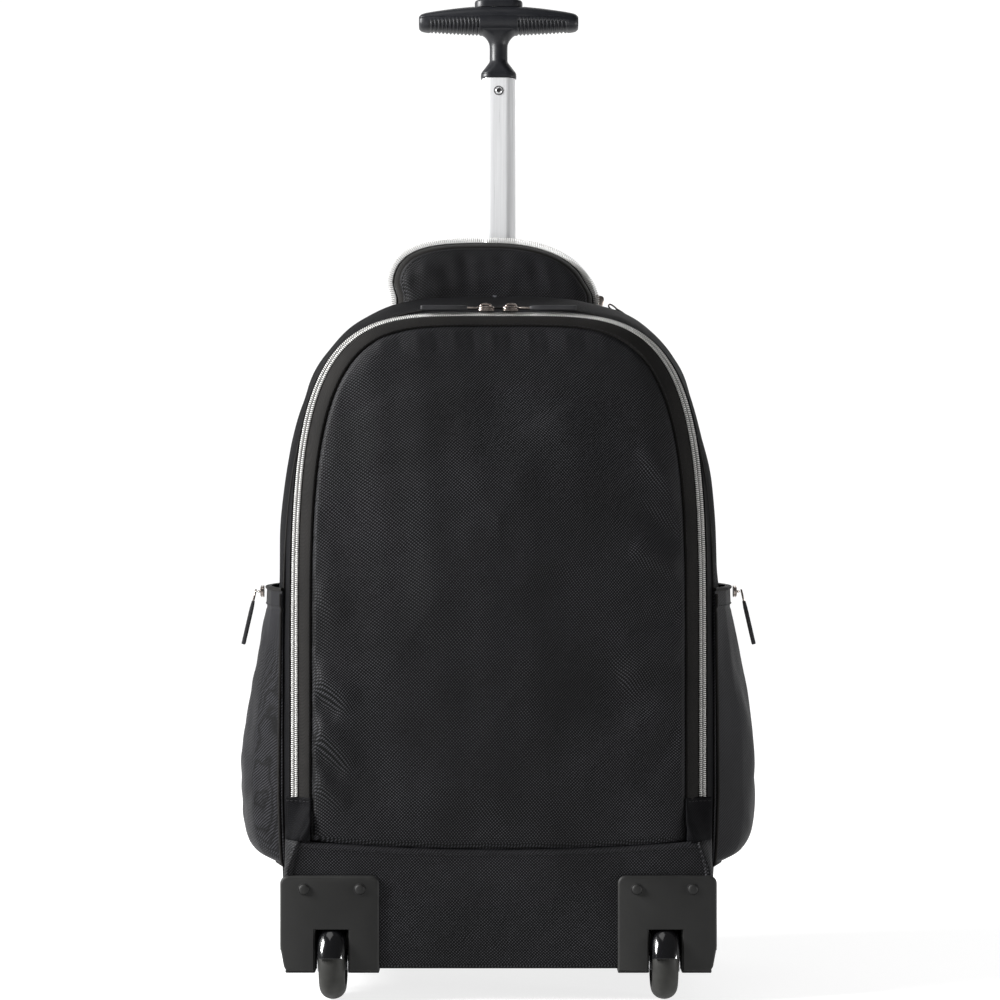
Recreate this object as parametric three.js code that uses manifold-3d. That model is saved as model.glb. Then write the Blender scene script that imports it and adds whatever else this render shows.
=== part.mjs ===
// A wheeled backpack for a laptop: a soft bag on two inline wheels, with a single-pole telescoping
// handle, a U-shaped zipped front panel, a zipped cover over the handle and two side pockets.
//
// Millimetres. +X is to the right seen from the front, -Y is towards the front, +Z is up, and the
// wheels and rear feet stand on Z = 0. Every piece is drawn in one working frame, and the group is
// moved at the end so that its box is centred on X = Y = 0.

import * as THREE from 'three';
import { mergeVertices } from 'three/addons/utils/BufferGeometryUtils.js';
import Module from 'manifold-3d';

const wasm = await Module();
wasm.setup();

// ---- Driving dimensions ----------------------------------------------------------------------

const GAP = 0.4; // clearance between neighbouring pieces

// Bag body, a tombstone outline lofted from the back to the zipped front rim
const BODY = { halfWidth: 161, top: 503, power: 3.5, base: 155, bottom: 24 };
const SHOULDER_Z = 212; // the sides are straight below this and curve above it
const FABRIC_WALL = 3.5;
const BODY_BACK_Y = 90;
const RIM_Y = -82;
const BOTTOM_CORNER = 14;

// Front zip: a U that runs from foot to foot over the top
const ZIP = { halfWidth: 144, top: 484, power: 4.3, foot: 141, y: -85 };
const ZIP_TAPE = { inner: 0.3, outer: 3.7, thick: 2 };
const ZIP_LEAN_SIDE = 68; // degrees that the tape's face turns from outwards to forwards
const ZIP_LEAN_TOP = 25;

// Front panel and the base panel below it
const FRONT_Y = -97.2;
const PANEL_WALL = 4;
const PANEL_CROWN = 8;
const BASE_TOP = 138;

// Handle garage: a dome that stands on the top of the bag
const GARAGE = { halfWidth: 74.5, top: 547.5, power: 2.25, shoulder: 504 };
const GARAGE_FRONT_Y = 18;
const GARAGE_RIM_Y = 45;
const GARAGE_BACK_RIM_Y = 85.2;
const GARAGE_SHIFT = -2.6; // the cover stands a little to the left of centre
const GARAGE_LEAN = -3.6; // and leans further over above its base

// Telescoping handle
const POLE_Y = 66;
const OUTER_TUBE = { width: 30, depth: 24, wall: 1.2, low: 34, high: 479 };
const TRAVEL = { down: 195, up: 200 }; // how far the handle slides from where it is drawn
const INNER_TUBE = { width: 26, depth: 20, wall: 1.2, low: 240, high: 676 };
const TUBE_CORNER = 8;
const GRIP = { halfWidth: 61, middle: 721, droop: 1.7 };
const GRIP_SPLIT_Z = 722;
const SCREW_Z = 666;
const BUTTON = { halfWidth: 18.4, halfDepth: 9, low: 730.6, high: 736.4, edge: 0.8 };
const ROD_RADIUS = 2.5;

// Wheels and their housings
const WHEEL = { x: 117, y: -79, radius: 27, width: 18.5 };
const PLATE = { inner: 83.6, outer: 153, low: 23.3, high: 89.8, front: -100, thick: 2.5 };
const WINDOW = { halfWidth: 12.25, high: 52 };
const CHEEK = { halfGap: 11.5, thick: 2, back: -46 };
const WELL_ROOF = 60;
const WELL_CUT = { halfWidth: 16.5, back: -44, high: 60.6 };
const MUDGUARD = { inner: 28.5, outer: 31.5, halfWidth: 9.6, from: 12, to: 88 };
const AXLE_RADIUS = 3;
const RIVET = { z: 80.5, outerX: 136.2, innerX: 97, shank: 2, head: 3.7, crown: 2.4, high: 1.5 };

// Side pockets
const POCKET = { front: -70, back: 60, bottom: 92, wall: 2.6 };

// Stiff parts in the bottom and the back
const TRAY = { halfWidth: 135, front: -74, back: 67, low: 27.9, thick: 3, rim: 10 };
const BOARD = { halfWidth: 128, low: 34, high: 440, front: 48, thick: 2.5, corner: 25 };
const SLEEVE = { halfWidth: 125, low: 40, high: 330, front: 20, wall: 4 };
const FOOT = { x: 128, y: 70, high: 23.6 };

// ---- Colours and finishes ---------------------------------------------------------------------

const FINISH = {
  fabric: { color: 0x141416, roughness: 0.85, metalness: 0 },
  zip: { color: 0xc9c9c7, roughness: 0.45, metalness: 0.1 },
  slider: { color: 0x55504c, roughness: 0.3, metalness: 0.9 },
  pull: { color: 0x1d1d1f, roughness: 0.6, metalness: 0 },
  tube: { color: 0xdadbdd, roughness: 0.35, metalness: 0.9 },
  grip: { color: 0x1a1b1e, roughness: 0.5, metalness: 0 },
  plate: { color: 0x2c2c2e, roughness: 0.6, metalness: 0 },
  tyre: { color: 0x333331, roughness: 0.75, metalness: 0 },
  hub: { color: 0x111113, roughness: 0.25, metalness: 0 },
  steel: { color: 0xa8a9ab, roughness: 0.3, metalness: 1 },
  board: { color: 0x3a3a3c, roughness: 0.7, metalness: 0 },
  padding: { color: 0x1b1b1d, roughness: 0.9, metalness: 0 },
  webbing: { color: 0x131314, roughness: 0.8, metalness: 0 },
  buckle: { color: 0x0f0f10, roughness: 0.3, metalness: 0 },
};

// ---- Solids -----------------------------------------------------------------------------------

const vec = (x, y, z) => new THREE.Vector3(x, y, z);
const radians = THREE.MathUtils.degToRad;
const mix = THREE.MathUtils.lerp;
const squared = (x, power = 0.5) => Math.sign(x) * Math.abs(x) ** power; // rounds a section's corners
const smooth = (x, low, high) => THREE.MathUtils.smoothstep(x, low, high);

// Closed geometry from points and faces: merged, with flat faces dropped, turned to face outwards.
function closedGeometry(points, faces) {
  const raw = new THREE.BufferGeometry();
  const numbers = points.flatMap((p) => [p.x, p.y, p.z]);
  raw.setAttribute('position', new THREE.Float32BufferAttribute(numbers, 3));
  raw.setIndex(faces.flat());
  const merged = mergeVertices(raw, 1e-4);
  const index = [];
  for (let i = 0; i < merged.index.count; i += 3) {
    const [a, b, c] = [0, 1, 2].map((k) => merged.index.getX(i + k));
    if (a !== b && b !== c && c !== a) index.push(a, b, c);
  }
  merged.setIndex(index);
  return signedVolume(merged) < 0 ? turned(merged) : merged;
}

function signedVolume(geometry) {
  const { attributes: { position }, index } = geometry;
  const at = (i) => vec(0, 0, 0).fromBufferAttribute(position, index.getX(i));
  let volume = 0;
  for (let i = 0; i < index.count; i += 3) {
    volume += at(i).dot(at(i + 1).cross(at(i + 2))) / 6;
  }
  return volume;
}

function turned(geometry) {
  const index = Array.from(geometry.index.array);
  for (let i = 0; i < index.length; i += 3) [index[i + 1], index[i + 2]] = [index[i + 2], index[i + 1]];
  geometry.setIndex(index);
  return geometry;
}

const quad = (a, b, c, d) => [[a, b, c], [a, c, d]];

// A sheet of material between two grids of points, front[row][column] and back[row][column].
// With foldLast the last row is folded on itself down the middle, so it needs no edge.
function sheet(front, back, foldLast = false) {
  const rows = front.length - 1;
  const columns = front[0].length - 1;
  const points = [...front.flat(), ...back.flat()];
  const F = (i, j) => i * (columns + 1) + j;
  const B = (i, j) => F(i, j) + (rows + 1) * (columns + 1);
  const faces = [];
  for (let i = 0; i < rows; i++) {
    for (let j = 0; j < columns; j++) {
      faces.push(...quad(F(i, j), F(i + 1, j), F(i + 1, j + 1), F(i, j + 1)));
      faces.push(...quad(B(i, j), B(i, j + 1), B(i + 1, j + 1), B(i + 1, j)));
    }
    faces.push(...quad(F(i + 1, 0), F(i, 0), B(i, 0), B(i + 1, 0)));
    faces.push(...quad(F(i, columns), F(i + 1, columns), B(i + 1, columns), B(i, columns)));
  }
  for (let j = 0; j < columns; j++) {
    faces.push(...quad(F(0, j), F(0, j + 1), B(0, j + 1), B(0, j)));
    if (!foldLast) faces.push(...quad(F(rows, j + 1), F(rows, j), B(rows, j), B(rows, j + 1)));
  }
  return closedGeometry(points, faces);
}

// A closed solid through rings of equally many points, capped at both ends by fans.
function loft(rings) {
  const count = rings[0].length;
  const centre = (ring) => ring.reduce((sum, p) => sum.add(p), vec(0, 0, 0)).divideScalar(count);
  const points = [...rings.flat(), centre(rings[0]), centre(rings.at(-1))];
  const at = (i, j) => i * count + (j % count);
  const first = rings.length * count;
  const faces = [];
  for (let j = 0; j < count; j++) {
    for (let i = 0; i < rings.length - 1; i++) {
      faces.push(...quad(at(i, j), at(i + 1, j), at(i + 1, j + 1), at(i, j + 1)));
    }
    faces.push([first, at(0, j), at(0, j + 1)]);
    faces.push([first + 1, at(rings.length - 1, j + 1), at(rings.length - 1, j)]);
  }
  return closedGeometry(points, faces);
}

function solid(geometry) {
  const bare = geometry.index ? geometry.clone() : geometry;
  bare.deleteAttribute('normal');
  bare.deleteAttribute('uv');
  const merged = mergeVertices(bare, 1e-4);
  return new wasm.Manifold(new wasm.Mesh({
    numProp: 3,
    vertProperties: merged.attributes.position.array,
    triVerts: new Uint32Array(merged.index.array),
  }));
}

function geometryOf(manifold) {
  const mesh = manifold.getMesh();
  const geometry = new THREE.BufferGeometry();
  geometry.setAttribute('position', new THREE.BufferAttribute(mesh.vertProperties, 3));
  geometry.setIndex(new THREE.BufferAttribute(mesh.triVerts, 1));
  return geometry;
}

function join(first, ...others) {
  return geometryOf(others.reduce((sum, g) => sum.add(solid(g)), solid(first)));
}

function cut(first, ...tools) {
  return geometryOf(tools.reduce((rest, g) => rest.subtract(solid(g)), solid(first)));
}

const common = (first, second) => geometryOf(solid(first).intersect(solid(second)));

// A box given by its low and high sides on each axis.
function box([x0, x1], [y0, y1], [z0, z1]) {
  const geometry = new THREE.BoxGeometry(Math.abs(x1 - x0), y1 - y0, z1 - z0);
  return geometry.translate((x0 + x1) / 2, (y0 + y1) / 2, (z0 + z1) / 2);
}

const TURN_TO = {
  x: (geometry) => geometry.rotateZ(-Math.PI / 2),
  y: (geometry) => geometry,
  z: (geometry) => geometry.rotateX(Math.PI / 2),
};

// A round bar between two points of one axis; at gives the other two coordinates.
function bar(axis, radius, low, high, at, sides = 16) {
  const geometry = TURN_TO[axis](new THREE.CylinderGeometry(radius, radius, high - low, sides));
  const middle = { x: at[0], y: at[1], z: at[2], [axis]: (low + high) / 2 };
  return geometry.translate(middle.x, middle.y, middle.z);
}

// A closed ring turned about the X axis through (x, y, z) from [radius, offset along X] pairs.
function turnedRing(profile, x, y, z, sides = 32) {
  const points = [...profile, profile[0]].map(([radius, along]) => new THREE.Vector2(radius, along));
  const ring = solid(new THREE.LatheGeometry(points, sides));
  const geometry = geometryOf(ring);
  if (signedVolume(geometry) < 0) turned(geometry);
  return geometry.rotateZ(-Math.PI / 2).translate(x, y, z);
}

// A tube section with round ends, wide along X and deep along Y.
function stadium(width, depth, radius) {
  const shape = new THREE.Shape();
  const [w, d, r] = [width / 2, depth / 2, Math.min(radius, depth / 2 - 0.01)];
  shape.moveTo(-w + r, -d);
  shape.lineTo(w - r, -d);
  shape.absarc(w - r, -d + r, r, -Math.PI / 2, 0);
  shape.absarc(w - r, d - r, r, 0, Math.PI / 2);
  shape.absarc(-w + r, d - r, r, Math.PI / 2, Math.PI);
  shape.absarc(-w + r, -d + r, r, Math.PI, Math.PI * 1.5);
  return shape;
}

// A stadium section raised from low to high at the pole's centre.
function column(width, depth, low, high, radius = TUBE_CORNER, segments = 4) {
  const shape = stadium(width, depth, radius);
  const geometry = new THREE.ExtrudeGeometry(shape, {
    depth: high - low, bevelEnabled: false, curveSegments: segments,
  });
  return geometry.translate(0, POLE_Y, low);
}

// ---- Outlines ---------------------------------------------------------------------------------

const CURVE_SHARE = 0.84; // the share of an arch's parameter that its curved top takes
const QUARTER_STEPS = 12;
const SIDE_STEPS = 2;

// The parameter values of an arch, from -1 at the left foot over 0 at the top to 1 at the right foot.
const ARCH_STEPS = (() => {
  const right = [];
  for (let k = 1; k <= QUARTER_STEPS; k++) right.push((CURVE_SHARE * k) / QUARTER_STEPS);
  for (let k = 1; k <= SIDE_STEPS; k++) right.push(mix(CURVE_SHARE, 1, k / SIDE_STEPS));
  return [...right.map((t) => -t).reverse(), 0, ...right];
})();

// A point of a tombstone outline in the XZ plane: a superellipse top on straight sides.
function archPoint({ halfWidth, top, power, shoulder, foot }, t) {
  const part = Math.abs(t);
  const x = Math.sign(t) * halfWidth;
  if (part > CURVE_SHARE) {
    const down = (part - CURVE_SHARE) / (1 - CURVE_SHARE);
    return vec(x, 0, mix(shoulder, foot, down));
  }
  const angle = (1 - part / CURVE_SHARE) * (Math.PI / 2);
  const across = Math.abs(Math.cos(angle)) ** (2 / power);
  const up = Math.abs(Math.sin(angle)) ** (2 / power);
  return vec(x * across, 0, mix(shoulder, top, up));
}

// The outward direction of an arch in the XZ plane.
function archOutward(arch, t) {
  const step = 0.004;
  const after = archPoint(arch, Math.min(t + step, 1));
  const before = archPoint(arch, Math.max(t - step, -1));
  const along = after.sub(before);
  return vec(-along.z, 0, along.x).normalize();
}

// The same arch drawn smaller: its sides and top move in together, and meet in the middle of its base.
function inset(arch, by) {
  const rise = arch.top - arch.shoulder;
  const share = mix(1, Math.min(rise / arch.halfWidth, 1), Math.max(by, 0) / arch.halfWidth);
  return { ...arch, halfWidth: arch.halfWidth - by, top: arch.top - by * share };
}

// The height of the bag's top at x, where the outline's crest is at the given height.
function bodyTopAt(x, crest = BODY.top) {
  const share = Math.min(Math.abs(x) / BODY.halfWidth, 1);
  return SHOULDER_Z + (crest - SHOULDER_Z) * (1 - share ** BODY.power) ** (1 / BODY.power);
}

// A ring of the bag body at depth y: the arch, then the rounded bottom from right to left.
function bodyRing(y, halfWidth, top, base, bottom, corner = BOTTOM_CORNER) {
  const arch = { halfWidth, top, power: BODY.power, shoulder: SHOULDER_Z, foot: ZIP.foot };
  const upper = ARCH_STEPS.map((t) => archPoint(arch, t).setY(y));
  return [...upper, ...bottomCorners(y, base, bottom, corner)];
}

function bottomCorners(y, base, bottom, corner) {
  const arc = [0, 30, 60, 90].map(radians);
  const centre = { x: base - corner, z: bottom + corner };
  const right = arc.map((a) => vec(centre.x + corner * Math.cos(a), y, centre.z - corner * Math.sin(a)));
  return [...right, ...right.map((p) => vec(-p.x, p.y, p.z)).reverse()];
}

// ---- Front zip --------------------------------------------------------------------------------

const zipArch = { ...ZIP, shoulder: SHOULDER_Z };

// A point beside the zip's centre line: across is positive towards the panel, deep is into the bag.
function zipPoint(t, across, deep = 0) {
  const outward = archOutward(zipArch, t);
  const lean = radians(mix(ZIP_LEAN_SIDE, ZIP_LEAN_TOP, outward.z ** 2));
  const forward = vec(0, -1, 0);
  const width = outward.clone().multiplyScalar(-Math.sin(lean)).addScaledVector(forward, Math.cos(lean));
  const face = outward.clone().multiplyScalar(Math.cos(lean)).addScaledVector(forward, Math.sin(lean));
  const centre = archPoint(zipArch, t).setY(ZIP.y);
  return centre.addScaledVector(width, across).addScaledVector(face, -deep);
}

function zipTape(side) {
  const edges = [side * ZIP_TAPE.inner, side * ZIP_TAPE.outer];
  const face = ARCH_STEPS.map((t) => edges.map((across) => zipPoint(t, across)));
  const rear = ARCH_STEPS.map((t) => edges.map((across) => zipPoint(t, across, ZIP_TAPE.thick)));
  return sheet(face, rear);
}

// ---- Bag body ---------------------------------------------------------------------------------

// Stations from the back face to just behind the rim: depth, half width, crest, base, bottom.
const BODY_STATIONS = [
  [BODY_BACK_Y, 136, 482, 132, 38],
  [84, 149, 498, 147, 27],
  [70, 156, 502, 152, 24],
  [40, BODY.halfWidth - 1, BODY.top, BODY.base - 0.5, BODY.bottom],
  [-10, BODY.halfWidth, BODY.top, BODY.base, BODY.bottom],
  [-50, 158, 495, 153, BODY.bottom],
  [-75, 151, 487.5, 149, BODY.bottom],
];

function rimRing(deep, base, bottom, y) {
  const edge = ZIP_TAPE.outer + GAP;
  return [
    ...ARCH_STEPS.map((t) => zipPoint(t, -edge, deep)),
    ...bottomCorners(y, base, bottom, BOTTOM_CORNER),
  ];
}

function wellCutter(side) {
  const x = side * WHEEL.x;
  return box([x - WELL_CUT.halfWidth, x + WELL_CUT.halfWidth], [-112, WELL_CUT.back], [-5, WELL_CUT.high]);
}

const CUP = {
  halfWidth: 36, front: 49, back: 83, low: 474, wall: 2, flange: 42, flangeFront: 46, flangeBack: 84.6,
};

function cupCutter() {
  return box([-CUP.halfWidth - GAP, CUP.halfWidth + GAP], [CUP.front - GAP, CUP.back + GAP], [460, 520]);
}

function bodyShell() {
  const w = FABRIC_WALL;
  const outer = BODY_STATIONS.map(([y, half, top, base, bottom]) => bodyRing(y, half, top, base, bottom));
  const forward = [w, w * 0.6, w * 0.6, 0, 0, 0, 0]; // how far the lining stands ahead of each station
  const inner = BODY_STATIONS.map(([y, half, top, base, bottom], i) => {
    return bodyRing(y - forward[i], half - w, top - w, base - w, bottom + w, BOTTOM_CORNER - w);
  });
  const rim = [rimRing(0, 148, BODY.bottom, RIM_Y), rimRing(3, 145.5, BODY.bottom + 2.5, RIM_Y + 3)];
  const shell = loft([...outer, ...rim, ...inner.reverse()]);
  return cut(shell, cupCutter(), wellCutter(-1), wellCutter(1));
}

// ---- Front panel and base panel ---------------------------------------------------------------

// Rows of the front panel from its edge inwards: inset, and the depth at the sides and at the top.
const PANEL_ROWS = [
  [8, -90, -94.5],
  [14, -94.5, -96.8],
  [30, FRONT_Y, -98.4],
  [60, FRONT_Y, -98.8],
  [100, FRONT_Y, -99],
  [ZIP.halfWidth, FRONT_Y, -99],
];

function panelPoint(t, [by, sideY, topY], back) {
  const point = archPoint(inset(zipArch, by), t);
  const upward = archOutward(zipArch, t).z ** 2;
  const crown = PANEL_CROWN * smooth(by, 10, 120) * smooth(point.z, ZIP.foot, 280);
  return point.setY(mix(sideY, topY, upward) - crown + back);
}

function frontPanel() {
  const edge = ZIP_TAPE.outer + GAP;
  const front = [ARCH_STEPS.map((t) => zipPoint(t, edge))];
  const rear = [ARCH_STEPS.map((t) => zipPoint(t, edge, 3))];
  for (const row of PANEL_ROWS) {
    front.push(ARCH_STEPS.map((t) => panelPoint(t, row, 0)));
    rear.push(ARCH_STEPS.map((t) => panelPoint(t, row, PANEL_WALL)));
  }
  return sheet(front, rear, true);
}

// Half plans of the base panel, from its side edge to the centre, at its bottom and at its top.
const BASE_PLAN_LOW = [
  [151, -84.2], [151, -87], [150.6, -90.5], [149.2, -93.6], [146, -96.2], [141, -97.2], [60, -97.2],
];
const BASE_PLAN_HIGH = [
  [150.4, -84.2], [147.5, -85.2], [140.2, -87.4], [136, -90.2], [130, -94.5], [114, -97.2], [60, -97.4],
];
const BASE_LEVELS = [[BODY.bottom + 0.3, 0], [90, 0], [114, 0.35], [BASE_TOP, 1]];

// A plan path moved sideways by the given distance, on the side of its left-hand normal.
function offsetPath(path, distance) {
  return path.map((point, i) => {
    const before = path[Math.max(i - 1, 0)];
    const after = path[Math.min(i + 1, path.length - 1)];
    const along = after.clone().sub(before).normalize();
    return vec(point.x - along.y * distance, point.y + along.x * distance, 0);
  });
}

function basePlan(blend) {
  const left = BASE_PLAN_LOW.map(([x, y], i) => {
    const [highX, highY] = BASE_PLAN_HIGH[i];
    return vec(-mix(x, highX, blend), mix(y, highY, blend), 0);
  });
  return [...left, ...left.map((p) => vec(-p.x, p.y, 0)).reverse()];
}

function baseFrontPanel() {
  const front = [];
  const rear = [];
  for (const [z, blend] of BASE_LEVELS) {
    const plan = basePlan(blend);
    front.push(plan.map((p) => vec(p.x, p.y, z)));
    rear.push(offsetPath(plan, 3).map((p) => vec(p.x, Math.min(p.y, -84.2), z)));
  }
  const low = BODY.bottom + 0.3;
  const underside = box([-147, 147], [-95, -84.2], [low, low + 2.5]);
  return cut(join(sheet(front, rear), underside), wellCutter(-1), wellCutter(1), ...rivetHoles());
}

// ---- Handle garage ----------------------------------------------------------------------------

// An arch of the garage whose feet follow the bag's top.
function garagePoint(arch, by, t, y, leaning, crest) {
  const inner = inset({ ...arch, foot: 0 }, by);
  const x = Math.sign(t) * inner.halfWidth + (leaning ? GARAGE_SHIFT : 0);
  const foot = Math.min(bodyTopAt(x, crest) + 0.8, arch.shoulder - 0.05);
  const point = archPoint({ ...inner, foot }, t).setY(y);
  if (leaning) point.x += GARAGE_SHIFT + GARAGE_LEAN * smooth(point.z, arch.shoulder, arch.shoulder + 16);
  return point;
}

// A dish from rows of [outer inset, outer depth, inner inset, inner depth], rim first.
function garageDish(arch, rows, leaning, crest) {
  const row = (by, y) => ARCH_STEPS.map((t) => garagePoint(arch, by, t, y, leaning, crest));
  const face = rows.map(([by, y]) => row(by, y));
  const rear = rows.map(([, , by, y]) => row(by, y));
  return sheet(face, rear, true);
}

const GARAGE_COVER_ROWS = [
  [0, GARAGE_RIM_Y, 3, GARAGE_RIM_Y],
  [0.5, 34, 3.4, 34],
  [3, 26, 5.8, 27.6],
  [9, 21.5, 11, 24.4],
  [22, 19.2, 23, 22.4],
  [45, GARAGE_FRONT_Y + 0.3, 45, GARAGE_FRONT_Y + 3.4],
  [GARAGE.halfWidth, GARAGE_FRONT_Y, GARAGE.halfWidth, GARAGE_FRONT_Y + 3.1],
];

const GARAGE_BACK_ARCH = { ...GARAGE, halfWidth: 76, top: 548 };
const GARAGE_BACK_CREST = 500.5;
const GARAGE_BACK_ROWS = [
  [0, GARAGE_BACK_RIM_Y, 2.5, GARAGE_BACK_RIM_Y],
  [1, 88.5, 3.4, 87],
  [5, 91.5, 6.6, 89.2],
  [16, 93, 17, 90.6],
  [40, 93.5, 40, 91],
  [76, 93.8, 76, 91.3],
];

function garageTape(arch, from, to, front, leaning, crest) {
  const row = (by, y) => ARCH_STEPS.map((t) => garagePoint(arch, -by, t, y, leaning, crest));
  const face = [row(from, front), row(to, front)];
  const rear = [row(from, front + 2), row(to, front + 2)];
  return sheet(face, rear);
}

// ---- Zip sliders and pulls --------------------------------------------------------------------

// A slider body with a low bridge for its pull, drawn along X with its foot at z = 0.
function sliderBody(length, width, height) {
  const shape = new THREE.Shape();
  const [l, w, c] = [length / 2, width / 2, 1.6];
  shape.moveTo(-l, -w + c);
  shape.lineTo(-l + c, -w);
  shape.lineTo(l - c, -w);
  shape.lineTo(l, -w + c);
  shape.lineTo(l, w - c);
  shape.lineTo(l - c, w);
  shape.lineTo(-l + c, w);
  shape.lineTo(-l, w - c);
  shape.closePath();
  const plate = new THREE.ExtrudeGeometry(shape, { depth: height * 0.6, bevelEnabled: false });
  const bridge = box([-l + 2, l - 2], [-1.2, 1.2], [height * 0.6 - 0.5, height]);
  return join(plate, bridge);
}

// A pull drawn along +X from its pivot at the origin: a thin link, then the grip tab.
function pullTab(length, link, width, thick) {
  return join(
    box([-0.9, link + 1], [-1.5, 1.5], [-0.8, 0.8]),
    box([link, length], [-width / 2, width / 2], [-thick / 2, thick / 2]),
  );
}

// ---- Telescoping handle -----------------------------------------------------------------------

function hollowColumn({ width, depth, wall, low, high }) {
  const bore = column(width - 2 * wall, depth - 2 * wall, low - 1, high + 1, TUBE_CORNER - wall);
  return cut(column(width, depth, low, high), bore);
}

const PIN = { radius: 2.8, z: 234.7, inner: 7, outer: 13.2 };
// Where the pin stands with the handle in and with it out
const STOP_HOLE_Z = [PIN.z - TRAVEL.down, PIN.z + TRAVEL.up];

function outerTube() {
  const holes = STOP_HOLE_Z.map((z) => bar('x', PIN.radius + 0.6, 10, 20, [0, POLE_Y, z], 12));
  return cut(hollowColumn(OUTER_TUBE), ...holes);
}

function innerTube() {
  const screwHole = bar('y', 3.3, POLE_Y - 15, POLE_Y - 5, [0, 0, SCREW_Z], 16);
  return cut(hollowColumn(INNER_TUBE), screwHole);
}

function lockPlug() {
  const head = column(27.2, 21.2, 229.7, INNER_TUBE.low - 0.3);
  const shank = column(23, 17, 238, 262, TUBE_CORNER - 1.5);
  const pinBore = bar('x', PIN.radius + 0.4, 3.5, 20, [0, POLE_Y, PIN.z], 12);
  const rodBore = bar('z', ROD_RADIUS + 0.5, 238.4, 270, [0, POLE_Y, 0], 12);
  return cut(join(head, shank), pinBore, rodBore);
}

// Grip sections along X: distance from the middle, and its half height and half depth there.
const GRIP_SECTIONS = [
  [0, 10.7, 15],
  [16, 10.6, 15],
  [34, 9.4, 13.6],
  [52, 7.6, 11.8],
  [58.5, 6.4, 10.6],
  [61, 4.6, 8.4],
];

function gripSection(x, halfHeight, halfDepth) {
  const points = [];
  for (let k = 0; k < 16; k++) {
    const a = (k / 16) * Math.PI * 2;
    const across = squared(Math.cos(a), 0.8) * halfDepth;
    const up = squared(Math.sin(a), 0.8) * halfHeight;
    const droop = -GRIP.droop * (Math.abs(x) / GRIP.halfWidth) ** 2;
    points.push(vec(x, POLE_Y + across, GRIP.middle + droop + up));
  }
  return points;
}

function gripBar() {
  const half = GRIP_SECTIONS.map(([x, height, depth]) => gripSection(x, height, depth));
  const mirrored = GRIP_SECTIONS.slice(1).map(([x, height, depth]) => gripSection(-x, height, depth));
  return loft([...mirrored.reverse(), ...half]);
}

// A flared neck between the grip and the collar on the tube.
function gripNeck() {
  const rings = [[676.4, 13.6, 10.6, 8], [680.3, 13.6, 10.6, 8], [686, 9.4, 8.2, 8], [690, 6.9, 6.9, 6.8],
    [702, 6.9, 6.9, 6.8], [708, 10.5, 9, 8.5], [713, 17, 11.5, 9]];
  const section = ([z, width, depth, corner]) => {
    const outline = stadium(width * 2, depth * 2, Math.min(corner, width - 0.05)).extractPoints(4).shape;
    return outline.slice(0, 20).map((p) => vec(p.x, POLE_Y + p.y, z));
  };
  return loft(rings.map(section));
}

const SPRING = { low: 713.2, high: 730.2, radius: 5, wire: 0.7, turns: 4 };

function gripHollows() {
  return [
    bar('z', ROD_RADIUS + 0.8, 640, 740, [0, POLE_Y, 0], 12),
    bar('z', SPRING.radius + 1.6, SPRING.low - 0.5, 745, [0, POLE_Y, 0], 16),
    box([-BUTTON.halfWidth - 0.5, BUTTON.halfWidth + 0.5],
      [POLE_Y - BUTTON.halfDepth - 0.5, POLE_Y + BUTTON.halfDepth + 0.5], [725.2, 745]),
  ];
}

function gripLower() {
  const lower = common(gripBar(), box([-80, 80], [POLE_Y - 30, POLE_Y + 30], [690, GRIP_SPLIT_Z - 0.2]));
  const spigot = column(23, 17, 652, 678, TUBE_CORNER - 1.5);
  const screwBore = bar('y', 1.9, POLE_Y - 15, POLE_Y + 1.2, [0, 0, SCREW_Z], 12);
  const headBore = bar('y', 3.3, POLE_Y - 15, POLE_Y - 6.6, [0, 0, SCREW_Z], 16);
  return cut(join(lower, gripNeck(), spigot), ...gripHollows(), screwBore, headBore);
}

function gripUpper() {
  const upper = common(gripBar(), box([-80, 80], [POLE_Y - 30, POLE_Y + 30], [GRIP_SPLIT_Z + 0.2, 760]));
  return cut(upper, ...gripHollows());
}

function gripScrew() {
  const y = POLE_Y - INNER_TUBE.depth / 2;
  const head = bar('y', 2.9, y + 0.1, y + 1.6, [0, 0, SCREW_Z], 16);
  const shank = bar('y', 1.5, y + 1, y + 6, [0, 0, SCREW_Z], 12);
  const recess = join(
    box([-1.8, 1.8], [y - 1, y + 0.9], [SCREW_Z - 0.35, SCREW_Z + 0.35]),
    box([-0.35, 0.35], [y - 1, y + 0.9], [SCREW_Z - 1.8, SCREW_Z + 1.8]),
  );
  return cut(join(head, shank), recess);
}

function buttonCap() {
  const { halfWidth, halfDepth, low, high, edge } = BUTTON;
  const shape = stadium(halfWidth * 2, halfDepth * 2, halfDepth - 0.5);
  const bevel = { bevelEnabled: true, bevelThickness: edge, bevelSize: edge, bevelOffset: -edge };
  const depth = high - low - 2 * edge;
  const cap = new THREE.ExtrudeGeometry(shape, { depth, curveSegments: 4, bevelSegments: 1, ...bevel });
  return cap.translate(0, POLE_Y, low + edge);
}

// A helix about the pole's centre line as a closed wire.
function buttonSpring() {
  const path = new (class extends THREE.Curve {
    getPoint(t, target = vec(0, 0, 0)) {
      const angle = t * SPRING.turns * Math.PI * 2;
      const z = mix(SPRING.low + SPRING.wire, SPRING.high - SPRING.wire, t);
      return target.set(SPRING.radius * Math.cos(angle), POLE_Y + SPRING.radius * Math.sin(angle), z);
    }
  })();
  const wire = new THREE.Shape().absarc(0, 0, SPRING.wire, 0, Math.PI * 2);
  return new THREE.ExtrudeGeometry(wire, { steps: SPRING.turns * 12, extrudePath: path, curveSegments: 3 });
}

// The room that a part leaves for the outer tube.
function tubeRoom(low, high) {
  const play = 0.35;
  const { width, depth } = OUTER_TUBE;
  return column(width + 2 * play, depth + 2 * play, low, high, TUBE_CORNER + play);
}

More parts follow.
